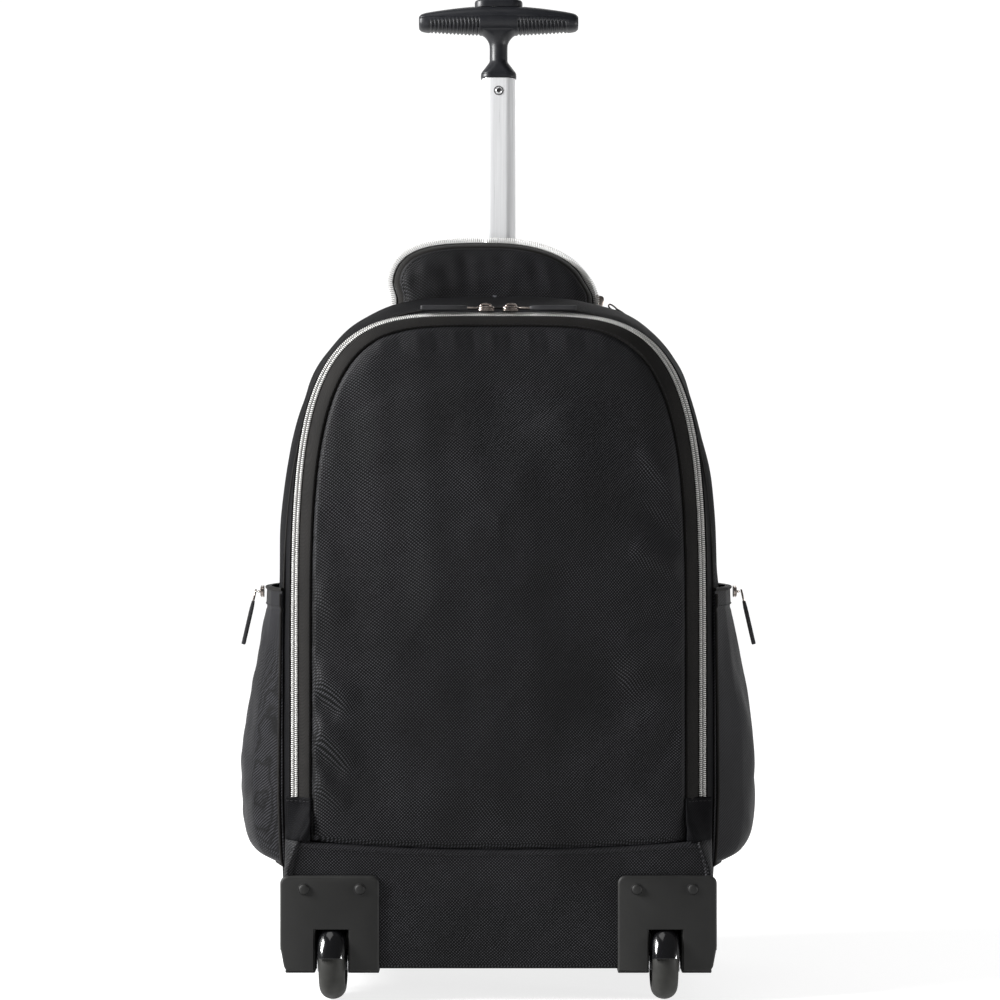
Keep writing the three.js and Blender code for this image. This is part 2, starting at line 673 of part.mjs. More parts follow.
function handleCup() {
  const { halfWidth: w, front, back, low, wall } = CUP;
  const top = 503.4;
  const outside = join(
    box([-w, w], [front, back], [low, top + 1]),
    box([-CUP.flange, CUP.flange], [CUP.flangeFront, CUP.flangeBack], [top, top + 2]),
  );
  const hollow = box([-w + wall, w - wall], [front + wall, back - wall], [low + 2.5, top + 5]);
  return cut(outside, hollow, tubeRoom(low - 5, low + 10));
}

function tubeFoot() {
  const low = TRAY.low + TRAY.thick + 0.3;
  const block = box([-24, 24], [51.5, 82], [low, 56]);
  const ears = box([-38, 38], [56, 76], [low, low + 3]);
  return cut(join(block, ears), tubeRoom(low + 2.2, 70));
}

// ---- Wheels -----------------------------------------------------------------------------------

// A curved guard over the front of the wheel, swept about the axle.
function mudguard(x) {
  const across = [-1, -0.75, 0, 0.75, 1];
  const drop = [1.6, 0.5, 0, 0.5, 1.6];
  const steps = 9;
  const grid = (radius) => Array.from({ length: steps + 1 }, (_, i) => {
    const a = radians(mix(MUDGUARD.from, MUDGUARD.to, i / steps));
    return across.map((part, j) => {
      const r = radius - drop[j];
      return vec(x + part * MUDGUARD.halfWidth, WHEEL.y - r * Math.cos(a), WHEEL.radius + r * Math.sin(a));
    });
  });
  return sheet(grid(MUDGUARD.outer), grid(MUDGUARD.inner + 0.9));
}

function platePanel(side) {
  const shape = new THREE.Shape();
  const corner = 5.5;
  const [inner, outer] = [PLATE.inner, PLATE.outer];
  const [left, right] = [WHEEL.x - WINDOW.halfWidth, WHEEL.x + WINDOW.halfWidth];
  shape.moveTo(inner, PLATE.low);
  shape.lineTo(left, PLATE.low);
  shape.lineTo(left, WINDOW.high);
  shape.lineTo(right, WINDOW.high);
  shape.lineTo(right, PLATE.low);
  shape.lineTo(outer - 3, PLATE.low);
  shape.lineTo(outer, PLATE.low + 9);
  shape.absarc(outer - corner, PLATE.high - corner, corner, 0, Math.PI / 2);
  shape.absarc(inner + corner, PLATE.high - corner, corner, Math.PI / 2, Math.PI);
  shape.closePath();
  const raised = { depth: PLATE.thick, bevelEnabled: false, curveSegments: 4 };
  const plate = new THREE.ExtrudeGeometry(shape, raised);
  plate.rotateX(Math.PI / 2).translate(0, PLATE.front + PLATE.thick, 0);
  return side > 0 ? plate : mirrorX(plate);
}

// The mirror image in the plane X = 0, with its faces still outwards.
function mirrorX(geometry) {
  const indexed = mergeVertices(geometry.clone().deleteAttribute('normal').deleteAttribute('uv'), 1e-4);
  indexed.scale(-1, 1, 1);
  return turned(indexed);
}

function wheelHousing(side) {
  const x = side * WHEEL.x;
  const back = CHEEK.back;
  const plateBack = PLATE.front + PLATE.thick - 0.5;
  const wells = [-1, 1].map((s) => {
    const inner = x + s * CHEEK.halfGap;
    const outer = inner + s * CHEEK.thick;
    return box([Math.min(inner, outer), Math.max(inner, outer)], [plateBack, back], [21.5, WELL_ROOF]);
  });
  const width = CHEEK.halfGap + CHEEK.thick;
  const roof = box([x - width, x + width], [plateBack, back], [WELL_ROOF - 2, WELL_ROOF]);
  const rear = box([x - width, x + width], [back - 2, back], [21.5, WELL_ROOF]);
  const sill = [
    box([side * (WHEEL.x + CHEEK.halfGap + 0.2), side * (PLATE.outer - 3)].sort((a, b) => a - b),
      [plateBack, back], [21.5, 23.7]),
    box([side * PLATE.inner, side * (WHEEL.x - CHEEK.halfGap - 0.2)].sort((a, b) => a - b),
      [plateBack, back], [21.5, 23.7]),
  ];
  const flange = box([side * (PLATE.outer - 1.6), side * PLATE.outer].sort((a, b) => a - b),
    [plateBack, -86], [PLATE.low + 9, PLATE.high - 6]);
  const axleAt = [0, WHEEL.y, WHEEL.radius];
  const axleHole = bar('x', AXLE_RADIUS + 0.3, x - 20, x + 20, axleAt, 16);
  const headRooms = [-1, 1].map((s) => {
    const ends = [x + s * width, x + s * (width + 2.8)].sort((a, b) => a - b);
    return bar('x', 5.4, ...ends, axleAt, 16);
  });
  const whole = join(platePanel(side), ...wells, roof, rear, ...sill, flange, mudguard(x));
  return cut(whole, axleHole, ...headRooms, ...rivetHoles());
}

const TYRE_PROFILE = [[18, -8], [24, -9.25], [26, -7], [27, -3], [27, 3], [26, 7], [24, 9.25], [18, 8]];
const HUB_PROFILE = [[3.4, -10.2], [6.5, -10.2], [7, -7.6], [14.5, -6.6], [17.6, -7.8],
  [17.6, 7.8], [14.5, 6.6], [7, 7.6], [6.5, 10.2], [3.4, 10.2]];

function axle(x) {
  const end = CHEEK.halfGap + CHEEK.thick + 0.3;
  const at = [0, WHEEL.y, WHEEL.radius];
  return join(
    bar('x', AXLE_RADIUS, x - end - 2, x + end + 2, at, 16),
    bar('x', 5, x - end - 2, x - end, at, 16),
    bar('x', 5, x + end, x + end + 2, at, 16),
  );
}

function rivetPlaces() {
  return [
    [-RIVET.outerX, 'left_outer'],
    [-RIVET.innerX, 'left_inner'],
    [RIVET.innerX, 'right_inner'],
    [RIVET.outerX, 'right_outer'],
  ];
}

function rivetHoles() {
  const radius = RIVET.shank + 0.3;
  return rivetPlaces().map(([x]) => bar('y', radius, PLATE.front - 5, PLATE.front + 15, [x, 0, RIVET.z], 12));
}

function plateRivet(x) {
  const at = [x, 0, RIVET.z];
  const face = PLATE.front - 0.3;
  const head = new THREE.CylinderGeometry(RIVET.head, RIVET.crown, RIVET.high, 12);
  head.rotateX(Math.PI).translate(x, face - RIVET.high / 2, RIVET.z);
  return join(
    bar('y', RIVET.shank, face - 1, -91.5, at, 12),
    head,
    bar('y', 3.4, -93.5, -91.5, at, 12),
  );
}

// ---- Soft bars: straps, pads, webbing and the grab handle --------------------------------------

// A bar along a path. Each station is [x, y, z, half width, half thickness]; the section is a
// rounded rectangle, wide along the given axis as far as the path allows.
function softBar(stations, wideAxis, sides = 12, squareness = 0.5) {
  const places = stations.map(([x, y, z]) => vec(x, y, z));
  const rings = stations.map(([, , , half, thick], i) => {
    const before = places[Math.max(i - 1, 0)];
    const after = places[Math.min(i + 1, places.length - 1)];
    const along = after.clone().sub(before).normalize();
    const face = wideAxis.clone().cross(along).normalize();
    const wide = along.clone().cross(face).normalize();
    return Array.from({ length: sides }, (_, k) => {
      const a = (k / sides) * Math.PI * 2;
      const u = squared(Math.cos(a), squareness) * half;
      const v = squared(Math.sin(a), squareness) * thick;
      return places[i].clone().addScaledVector(wide, u).addScaledVector(face, v);
    });
  });
  return loft(rings);
}

const X_AXIS = vec(1, 0, 0);
const Z_AXIS = vec(0, 0, 1);

const backPad = (side) => softBar([
  [side * 66, 95, 98, 30, 1.5],
  [side * 67, 95, 104, 44, 3.6],
  [side * 68, 95, 150, 52, 4.2],
  [side * 68, 95, 380, 52, 4.2],
  [side * 66, 95, 424, 42, 3.6],
  [side * 64, 95, 432, 28, 1.5],
], X_AXIS);

const shoulderStrap = (side) => softBar([
  [side * 42, 94, 462, 24, 2],
  [side * 43, 99.5, 448, 29, 3],
  [side * 46, 106, 430, 31, 5],
  [side * 56, 107, 390, 31, 6],
  [side * 72, 107, 320, 31, 6],
  [side * 86, 107, 260, 28, 6],
  [side * 92, 106.5, 222, 20, 5],
  [side * 94, 106, 212, 14, 2],
], X_AXIS);

const strapWebbing = (side) => softBar([
  [side * 98, 105.6, 184, 12, 0.9],
  [side * 104, 103.5, 150, 12, 0.9],
  [side * 112, 100.6, 110, 12, 0.9],
  [side * 120, 94.5, 84, 12, 0.9],
  [side * 124, 91.6, 70, 12, 0.9],
], X_AXIS, 8, 0.4);

// A ladder-lock buckle: a frame with one slot above and one below its middle bar.
function strapBuckle(side) {
  const x = side * 96;
  const frame = box([x - 16, x + 16], [103.6, 108], [187, 209]);
  const slots = [[190, 195.5], [200, 205.5]].map((z) => box([x - 13, x + 13], [100, 112], z));
  return cut(frame, ...slots);
}

const grabHandle = () => softBar([
  [-52, 91.6, 484, 11, 1.6],
  [-50, 97, 484, 11, 1.6],
  [-43, 106, 484, 11, 1.8],
  [-30, 111.5, 484, 11, 2.2],
  [0, 113, 484, 11, 2.6],
  [30, 111.5, 484, 11, 2.2],
  [43, 106, 484, 11, 1.8],
  [50, 97, 484, 11, 1.6],
  [52, 91.6, 484, 11, 1.6],
], Z_AXIS, 10, 0.5);

// ---- Side pockets -----------------------------------------------------------------------------

// The bag's half width at depth y and height z, between its stations.
function bodySideAt(y, z) {
  const rimHalf = zipArch.halfWidth + ZIP_TAPE.outer + GAP;
  const sides = BODY_STATIONS.map(([at, half, , base]) => [at, half, base]);
  const stations = [...sides, [RIM_Y, rimHalf, rimHalf]];
  const next = stations.findIndex(([at]) => at <= y);
  const [y0, half0, base0] = stations[next - 1];
  const [y1, half1, base1] = stations[next];
  const part = (y0 - y) / (y0 - y1);
  const half = mix(half0, half1, part);
  const base = mix(base0, base1, part);
  if (z > SHOULDER_Z) {
    const up = (z - SHOULDER_Z) / (BODY.top - SHOULDER_Z);
    return half * (1 - up ** BODY.power) ** (1 / BODY.power);
  }
  const low = BODY.bottom + BOTTOM_CORNER;
  return mix(base, half, THREE.MathUtils.clamp((z - low) / (ZIP.foot - low), 0, 1));
}

// Rows of a pocket: outer height, inner height and bulge.
const POCKET_ROWS = [
  [92, 95.4, 0],
  [94.5, 97.8, 12],
  [99, 101, 20],
  [112, 112, 25.5],
  [140, 140, 27],
  [169, 169, 25.5],
  [198, 198, 22],
  [228, 228, 17],
  [258, 258, 11.5],
  [275, 275, 8.6],
  [289, 289, 8],
];

function pocket(side) {
  const columns = 12;
  const middle = (POCKET.front + POCKET.back) / 2;
  const reach = (POCKET.back - POCKET.front) / 2;
  const point = (z, bulge, k, wall) => {
    const v = mix(-1, 1, k / columns);
    const y = middle + v * reach;
    const out = bulge * (1 - Math.abs(v) ** mix(2, 2.8, smooth(bulge, 8, 27)));
    return vec(side * (bodySideAt(y, z) + 0.7 + out + wall), y, z);
  };
  const steps = Array.from({ length: columns + 1 }, (_, k) => k);
  const outer = POCKET_ROWS.map(([z, , bulge]) => steps.map((k) => point(z, bulge, k, POCKET.wall)));
  const inner = POCKET_ROWS.map(([, z, bulge]) => steps.map((k) => point(z, bulge, k, 0)));
  return sheet(outer, inner);
}

// ---- Stiff inner parts ------------------------------------------------------------------------

function baseTray() {
  const { halfWidth: w, front, back, low, thick, rim } = TRAY;
  const high = low + rim;
  const plate = box([-w, w], [front, back], [low, low + thick]);
  const rims = [
    box([-w, -w + 2], [front, back], [low, high]),
    box([w - 2, w], [front, back], [low, high]),
    box([-w, w], [front, front + 2], [low, high]),
    box([-w, w], [back - 2, back], [low, high]),
  ];
  const notch = box([-40, 40], [back - 3, back + 5], [low + thick, high + 5]);
  return cut(join(plate, ...rims), wellCutter(-1), wellCutter(1), notch);
}

function backBoard() {
  const shape = new THREE.Shape();
  const { halfWidth: w, low, high, corner, front, thick } = BOARD;
  shape.moveTo(-w, low);
  shape.lineTo(w, low);
  shape.absarc(w - corner, high - corner, corner, 0, Math.PI / 2);
  shape.absarc(-w + corner, high - corner, corner, Math.PI / 2, Math.PI);
  shape.closePath();
  const board = new THREE.ExtrudeGeometry(shape, { depth: thick, bevelEnabled: false, curveSegments: 5 });
  return board.rotateX(Math.PI / 2).translate(0, front + thick, 0);
}

function laptopSleeve() {
  const { halfWidth: w, low, high, front, wall } = SLEEVE;
  const back = BOARD.front - 0.4;
  return join(
    box([-w, w], [front, front + wall], [low, high]),
    box([-w, -w + wall], [front, back], [low, high]),
    box([w - wall, w], [front, back], [low, high]),
    box([-w, w], [front, back], [low, low + wall]),
  );
}

function rearFoot(side) {
  const ring = (z, halfX, halfY) => Array.from({ length: 12 }, (_, k) => {
    const a = ((k + 0.5) / 12) * Math.PI * 2;
    return vec(side * FOOT.x + squared(Math.cos(a)) * halfX, FOOT.y + squared(Math.sin(a)) * halfY, z);
  });
  const levels = [[0, 10, 9], [2, 12, 11], [17, 13.5, 13], [20, 18, 14.5], [FOOT.high, 18, 14.5]];
  return loft(levels.map(([z, halfX, halfY]) => ring(z, halfX, halfY)));
}

// ---- Assembly ---------------------------------------------------------------------------------

const bag = new THREE.Group();

function add(name, finish, geometry) {
  const mesh = new THREE.Mesh(geometry, new THREE.MeshStandardMaterial(FINISH[finish]));
  mesh.name = name;
  bag.add(mesh);
  return mesh;
}

const SIDES = [[-1, 'left'], [1, 'right']];

// The soft bag
add('body_shell', 'fabric', bodyShell());
add('base_front_panel', 'fabric', baseFrontPanel());
add('front_panel', 'fabric', frontPanel());
add('front_zip_flap_half', 'zip', zipTape(1));
add('front_zip_body_half', 'zip', zipTape(-1));
add('garage_cover', 'fabric', garageDish(GARAGE, GARAGE_COVER_ROWS, true, BODY.top));
add('garage_zip_front_half', 'zip', garageTape(GARAGE, 0.5, 3.8, GARAGE_RIM_Y - 2.5, true, BODY.top));
add('garage_back', 'fabric', garageDish(GARAGE_BACK_ARCH, GARAGE_BACK_ROWS, false, GARAGE_BACK_CREST));
const backTape = garageTape(GARAGE_BACK_ARCH, -3.4, 0, GARAGE_BACK_RIM_Y - 2.4, false, GARAGE_BACK_CREST + 2);
add('garage_zip_back_half', 'zip', backTape);

// Front sliders side by side at the top of the zip, their pulls lying outwards
const FRONT_SLIDER = { x: 8.6, y: -85.5, z: 486.2, length: 11.4, width: 9, height: 5.4 };
const FRONT_PULL = { z: 488.6, length: 39, link: 6, width: 8, thick: 3.6 };

for (const [side, name] of SIDES) {
  const { x, y, z, length, width, height } = FRONT_SLIDER;
  const body = add('front_slider_' + name, 'slider', sliderBody(length, width, height));
  body.position.set(side * x, y, z);
  const tab = pullTab(FRONT_PULL.length, FRONT_PULL.link, FRONT_PULL.width, FRONT_PULL.thick);
  const pull = add('front_pull_' + name, 'pull', tab);
  pull.position.set(side * (x + length / 2 + 1.6), y, FRONT_PULL.z);
  if (side < 0) pull.rotation.z = Math.PI;
}

// Garage slider at the lower right end of the cover's zip
const GARAGE_SLIDER = { x: 78.2, y: 52, z: 503.8, pullX: 85, pullZ: 501, pullAngle: 25 };
const garageSlider = add('garage_slider', 'slider', sliderBody(10, 9, 5));
garageSlider.rotation.set(Math.PI / 2, Math.PI / 2, 0, 'YXZ');
garageSlider.position.set(GARAGE_SLIDER.x - 2.5, GARAGE_SLIDER.y, GARAGE_SLIDER.z);
const garagePull = add('garage_pull', 'pull', pullTab(20, 5, 5, 2.4));
garagePull.rotation.y = radians(GARAGE_SLIDER.pullAngle);
garagePull.position.set(GARAGE_SLIDER.pullX, GARAGE_SLIDER.y, GARAGE_SLIDER.pullZ);

// Side pockets with a slider on the middle of each mouth and a hanging pull
const POCKET_SLIDER = { x: 173.2, y: -5, z: 285.5, pullX: 179.6, pullTilt: 13 };
for (const [side, name] of SIDES) {
  add('pocket_' + name, 'fabric', pocket(side));
  const slider = add('pocket_slider_' + name, 'slider', sliderBody(11, 9, 4.6));
  slider.rotation.set(0, side * (Math.PI / 2), side * (Math.PI / 2), 'YXZ');
  slider.position.set(side * POCKET_SLIDER.x, POCKET_SLIDER.y, POCKET_SLIDER.z);
  const pull = add('pocket_pull_' + name, 'pull', pullTab(40, 7, 5.5, 3));
  pull.rotation.y = Math.PI / 2 - side * radians(POCKET_SLIDER.pullTilt);
  pull.position.set(side * POCKET_SLIDER.pullX, POCKET_SLIDER.y, POCKET_SLIDER.z);
}

// The telescoping handle
add('outer_tube', 'tube', outerTube());
add('tube_foot', 'plate', tubeFoot());
add('handle_cup', 'plate', handleCup());
add('inner_tube', 'tube', innerTube());
add('lock_plug', 'grip', lockPlug());
add('lock_pin', 'steel', bar('x', PIN.radius, PIN.inner, PIN.outer, [0, POLE_Y, PIN.z], 12));
add('release_rod', 'steel', bar('z', ROD_RADIUS, 242.6, BUTTON.low - 0.3, [0, POLE_Y, 0], 10));
add('button_spring', 'steel', buttonSpring());
add('grip_lower', 'grip', gripLower());
add('grip_upper', 'grip', gripUpper());
add('grip_screw', 'steel', gripScrew());
add('button', 'grip', buttonCap());

// Wheels, housings, axles and rivets
for (const [side, name] of SIDES) {
  const x = side * WHEEL.x;
  add('wheel_housing_' + name, 'plate', wheelHousing(side));
  add('tyre_' + name, 'tyre', turnedRing(TYRE_PROFILE, x, WHEEL.y, WHEEL.radius));
  add('hub_' + name, 'hub', turnedRing(HUB_PROFILE, x, WHEEL.y, WHEEL.radius, 20));
  add('axle_' + name, 'steel', axle(x));
  add('rear_foot_' + name, 'plate', rearFoot(side));
}
for (const [x, name] of rivetPlaces()) add('plate_rivet_' + name, 'plate', plateRivet(x));

// Stiff inner parts
add('base_tray', 'board', baseTray());
add('back_board', 'board', backBoard());
add('laptop_sleeve', 'padding', laptopSleeve());

// The wearer's side
for (const [side, name] of SIDES) {
  add('back_pad_' + name, 'padding', backPad(side));
  add('shoulder_strap_' + name, 'padding', shoulderStrap(side));
  add('strap_webbing_' + name, 'webbing', strapWebbing(side));
  add('strap_buckle_' + name, 'buckle', strapBuckle(side));
}
add('grab_handle', 'webbing', grabHandle());

// Centre the whole on X = Y = 0.
bag.updateMatrixWorld(true);
const extent = new THREE.Box3().setFromObject(bag, true);
bag.position.set(0, -(extent.min.y + extent.max.y) / 2, 0);

export default bag;
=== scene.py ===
"""Looks for the rolling laptop case: fabric, zips, handle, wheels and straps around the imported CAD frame.

Everything is drawn in millimetres in a drawing frame whose Y is the frame's Y less DEPTH_SHIFT, and
turned into metres when a mesh is made. +X is right seen from the front, -Y is the front, +Z is up.
"""

import math

import bmesh
import bpy
import numpy as np
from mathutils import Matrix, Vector


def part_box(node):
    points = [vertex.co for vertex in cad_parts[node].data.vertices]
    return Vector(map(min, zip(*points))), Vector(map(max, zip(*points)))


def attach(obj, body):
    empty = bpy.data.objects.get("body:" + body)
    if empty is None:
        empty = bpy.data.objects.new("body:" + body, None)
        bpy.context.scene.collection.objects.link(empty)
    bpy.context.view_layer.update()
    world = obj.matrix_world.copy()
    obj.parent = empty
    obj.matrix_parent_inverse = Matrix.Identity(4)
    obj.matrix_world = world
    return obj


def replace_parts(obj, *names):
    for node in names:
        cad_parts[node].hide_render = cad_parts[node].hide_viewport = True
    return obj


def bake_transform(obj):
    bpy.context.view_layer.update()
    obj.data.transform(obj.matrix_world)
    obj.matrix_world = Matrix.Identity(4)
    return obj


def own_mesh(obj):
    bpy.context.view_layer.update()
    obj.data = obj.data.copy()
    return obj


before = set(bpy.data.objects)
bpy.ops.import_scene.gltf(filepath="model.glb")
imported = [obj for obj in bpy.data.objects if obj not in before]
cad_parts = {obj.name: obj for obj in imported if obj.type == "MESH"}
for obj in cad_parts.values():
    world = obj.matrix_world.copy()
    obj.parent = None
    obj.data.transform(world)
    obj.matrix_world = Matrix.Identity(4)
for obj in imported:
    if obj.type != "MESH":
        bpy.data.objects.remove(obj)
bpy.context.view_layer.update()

MM = 0.001
SIDES = ((-1, "left"), (1, "right"))


def cad_box(node):
    """The lowest and highest corner of a CAD node, in millimetres in the frame."""
    low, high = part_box(node)
    return np.array(low) / MM, np.array(high) / MM


# ---- Driving dimensions, repeated from the CAD ---------------------------------------------------

POLE_Y = 66.0
DEPTH_SHIFT = float(sum(cad_box("inner_tube"))[1] / 2 - POLE_Y)
SHIFT = np.array([0.0, DEPTH_SHIFT, 0.0])

CURVE_SHARE = 0.84
SHOULDER_Z = 212.0
BODY_TOP = 503.0
BODY_POWER = 3.5
BODY_HALF = 161.0
BODY_BOTTOM = 24.0
BOTTOM_CORNER = 14.0
ZIP_FOOT = 141.0
ZIP_Y = -85.0
RIM_Y = -82.0
FRONT_Y = -97.2
SEAM_INSET = 12.2  # from the zip's centre line to the panel's sewn seam
SEAM_INSET_TOP = 8.6
BASE_SEAM = (115.0, 108.0)  # the seam above the base panel: height at its ends and in the middle
TAB_INNER = 133.4  # where the tab over each zip end starts, from the middle
CUP_CUT = ((-36.4, 48.6, 460.0), (36.4, 83.4, 520.0))
WHEEL = {"x": 117.0, "y": -79.0, "z": 27.0}
WELL_HALF = 16.5
WELL_ROOF = 60.6
WELL_AHEAD = -112  # where the cuts for the wheels start, ahead of the bag's front
PLATE_FRONT = -100.0


# ---- Points and meshes ---------------------------------------------------------------------------


def mix(a, b, t):
    return a + (b - a) * t


def smooth(x, low, high):
    t = np.clip((np.asarray(x, float) - low) / (high - low), 0.0, 1.0)
    return t * t * (3 - 2 * t)


def signed_power(x, power):
    return np.sign(x) * np.abs(x) ** power


def unit(vectors):
    length = np.linalg.norm(vectors, axis=-1, keepdims=True)
    return vectors / np.maximum(length, 1e-9)


def in_frame(points):
    return (np.asarray(points, float).reshape(-1, 3) + SHIFT) * MM


def link(obj):
    bpy.context.scene.collection.objects.link(obj)
    return obj


def mesh_piece(name, points, faces, materials, face_material=None, sharp=40, merge=0.02):
    """A mesh object from points in the drawing frame. face_material gives each face's material slot."""
    mesh = bpy.data.meshes.new(name)
    mesh.from_pydata(in_frame(points).tolist(), [], [list(map(int, f)) for f in faces])
    if face_material is not None:
        mesh.polygons.foreach_set("material_index", np.asarray(face_material, np.int32))
    for material in materials if isinstance(materials, (list, tuple)) else [materials]:
        mesh.materials.append(material)
    bm = bmesh.new()
    bm.from_mesh(mesh)
    bmesh.ops.remove_doubles(bm, verts=bm.verts, dist=merge * MM)
    loose = [v for v in bm.verts if not v.link_faces]
    bmesh.ops.delete(bm, geom=loose, context="VERTS")
    bmesh.ops.recalc_face_normals(bm, faces=bm.faces)
    bm.to_mesh(mesh)
    bm.free()
    smooth_faces(mesh, sharp)
    return link(bpy.data.objects.new(name, mesh))


def smooth_faces(mesh, sharp):
    mesh.polygons.foreach_set("use_smooth", [True] * len(mesh.polygons))
    mesh.set_sharp_from_angle(angle=math.radians(sharp))


def grid_faces(rows, columns, close_rows=False, close_columns=False, first=0):
    """Quads of a grid of points stored row by row."""
    faces = []
    for i in range(rows if close_rows else rows - 1):
        for j in range(columns if close_columns else columns - 1):
            a, b = i * columns, ((i + 1) % rows) * columns
            k = (j + 1) % columns
            faces.append((first + a + j, first + b + j, first + b + k, first + a + k))
    return faces


def grid_piece(name, grid, materials, row_material=None, closed=False, **options):
    """A surface through grid[row][column]; closed joins each row's last point to its first."""
    rows, columns = grid.shape[:2]
    faces = grid_faces(rows, columns, close_columns=closed)
    per_row = columns if closed else columns - 1
    face_material = None
    if row_material is not None:
        face_material = np.repeat(row_material, per_row)
    return mesh_piece(name, grid, faces, materials, face_material, **options)


def thicken(obj, thickness, lining=False, offset=-1.0):
    """Gives a surface its thickness, inwards, with the lining material inside."""
    solid = obj.modifiers.new("thickness", "SOLIDIFY")
    solid.thickness = thickness * MM
    solid.offset = offset
    solid.use_even_offset = False
    solid.use_quality_normals = True
    if lining:
        solid.material_offset = 1
        solid.material_offset_rim = 0
    return obj


def baked(obj, sharp=40):
    """Applies an object's modifiers."""
    depsgraph = bpy.context.evaluated_depsgraph_get()
    depsgraph.update()
    mesh = bpy.data.meshes.new_from_object(obj.evaluated_get(depsgraph))
    obj.modifiers.clear()
    obj.data = mesh
    smooth_faces(mesh, sharp)
    return obj


def cut_boxes(obj, boxes):
    """Cuts boxes, each given by two corners, out of a closed object."""
    for corners in boxes:
        low, high = np.sort(np.array(corners, float), axis=0)
        tool = box_piece("cutter", low, high, None, bevel=0)
        boolean = obj.modifiers.new("cut", "BOOLEAN")
        boolean.object = tool
        boolean.solver = "EXACT"
        baked(obj)
        bpy.data.objects.remove(tool)
    return obj


def box_piece(name, low, high, material, bevel=0.6, segments=3):
    """A box with rounded edges between two corners in the drawing frame."""
    low, high = np.array(low, float), np.array(high, float)
    corners = [[(low, high)[i][0], (low, high)[j][1], (low, high)[k][2]]
               for i in (0, 1) for j in (0, 1) for k in (0, 1)]
    faces = [(0, 1, 3, 2), (4, 6, 7, 5), (0, 4, 5, 1), (2, 3, 7, 6), (0, 2, 6, 4), (1, 5, 7, 3)]
    obj = mesh_piece(name, corners, faces, [material] if material else [])
    if bevel:
        round_edges(obj, bevel, segments)
    return obj


def round_edges(obj, width, segments=3, angle=35):
    bevel = obj.modifiers.new("edges", "BEVEL")
    bevel.width = width * MM
    bevel.segments = segments
    bevel.limit_method = "ANGLE"
    bevel.angle_limit = math.radians(angle)
    bevel.harden_normals = True
    return obj


def joined(name, objects):
    """One object from several, which keep their materials."""
    for obj in objects:
        if obj.modifiers:
            baked(obj)
    with bpy.context.temp_override(active_object=objects[0], selected_editable_objects=objects):
        bpy.ops.object.join()
    objects[0].name = name
    return objects[0]


def frames_along(path, up):
    """Tangent, side and up directions at each point of a path."""
    path = np.asarray(path, float)
    tangent = unit(np.gradient(path, axis=0))
    up = np.broadcast_to(np.asarray(up, float), path.shape)
    side = unit(np.cross(tangent, up))
    return tangent, side, unit(np.cross(side, tangent))


def tube_piece(name, path, radius, material, sides=10, closed=False, up=(0, 1, 0.01), flat=1.0):
    """A round or flattened cord along a path, with closed ends."""
    path = np.asarray(path, float)
    tangent, side, normal = frames_along(path, up)
    if closed:
        tangent = unit(np.roll(path, -1, axis=0) - np.roll(path, 1, axis=0))
        side = unit(np.cross(tangent, np.broadcast_to(up, path.shape)))
        normal = unit(np.cross(side, tangent))
    radius = np.broadcast_to(np.asarray(radius, float), len(path)).copy()
    if not closed:
        path = np.vstack([path[0], path, path[-1]])
        side, normal = (np.vstack([d[0], d, d[-1]]) for d in (side, normal))
        radius = np.concatenate([[0.01], radius, [0.01]])
    angle = np.linspace(0, 2 * math.pi, sides, endpoint=False)
    ring = (np.cos(angle)[None, :, None] * side[:, None]
            + flat * np.sin(angle)[None, :, None] * normal[:, None])
    grid = path[:, None] + ring * radius[:, None, None]
    faces = grid_faces(len(path), sides, close_rows=closed, close_columns=True)
    return mesh_piece(name, grid, faces, material)


def lathe_x(name, profile, centre, material, sides=96, **options):
    """A closed profile of (radius, along X) turned about the X axis through a point."""
    profile = np.asarray(profile, float)
    angle = np.linspace(0, 2 * math.pi, sides, endpoint=False)
    grid = np.empty((len(profile), sides, 3))
    grid[..., 0] = centre[0] + profile[:, 1:2]
    grid[..., 1] = centre[1] + profile[:, 0:1] * np.cos(angle)
    grid[..., 2] = centre[2] + profile[:, 0:1] * np.sin(angle)
    faces = grid_faces(len(profile), sides, close_rows=True, close_columns=True)
    return mesh_piece(name, grid, faces, material, **options)


def lathe_to(name, profile, centre, axis, material, sides=48, **options):
    """A profile of (radius, distance along an axis) that starts and ends on that axis."""
    axis = unit(np.asarray(axis, float))
    side = unit(np.cross(axis, (0.31, 0.17, 0.9)))
    other = np.cross(axis, side)
    angle = np.linspace(0, 2 * math.pi, sides, endpoint=False)
    round_ = np.cos(angle)[:, None] * side + np.sin(angle)[:, None] * other
    profile = np.asarray(profile, float)
    grid = (np.asarray(centre, float) + profile[:, 1][:, None, None] * axis
            + profile[:, 0][:, None, None] * round_[None])
    return mesh_piece(name, grid, grid_faces(len(profile), sides, close_columns=True), material, **options)


def spline(knots, count):
    """A smooth Catmull-Rom line through knots, at evenly spaced parameters."""
    knots = np.asarray(knots, float)
    padded = np.vstack([2 * knots[0] - knots[1], knots, 2 * knots[-1] - knots[-2]])
    at = np.linspace(0, len(knots) - 1, count)
    i = np.minimum(at.astype(int), len(knots) - 2)
    t = (at - i)[:, None]
    p0, p1, p2, p3 = (padded[i + k] for k in range(4))
    return 0.5 * (2 * p1 + (p2 - p0) * t + (2 * p0 - 5 * p1 + 4 * p2 - p3) * t**2
                  + (3 * p1 - p0 - 3 * p2 + p3) * t**3)


def spaced(path, pitch):
    """Points at an even spacing along a path, and how far along it each stands."""
    path = np.asarray(path, float)
    run = np.concatenate([[0], np.cumsum(np.linalg.norm(np.diff(path, axis=0), axis=1))])
    at = np.arange(pitch / 2, run[-1], pitch)
    return np.stack([np.interp(at, run, path[:, k]) for k in range(3)], axis=1), at


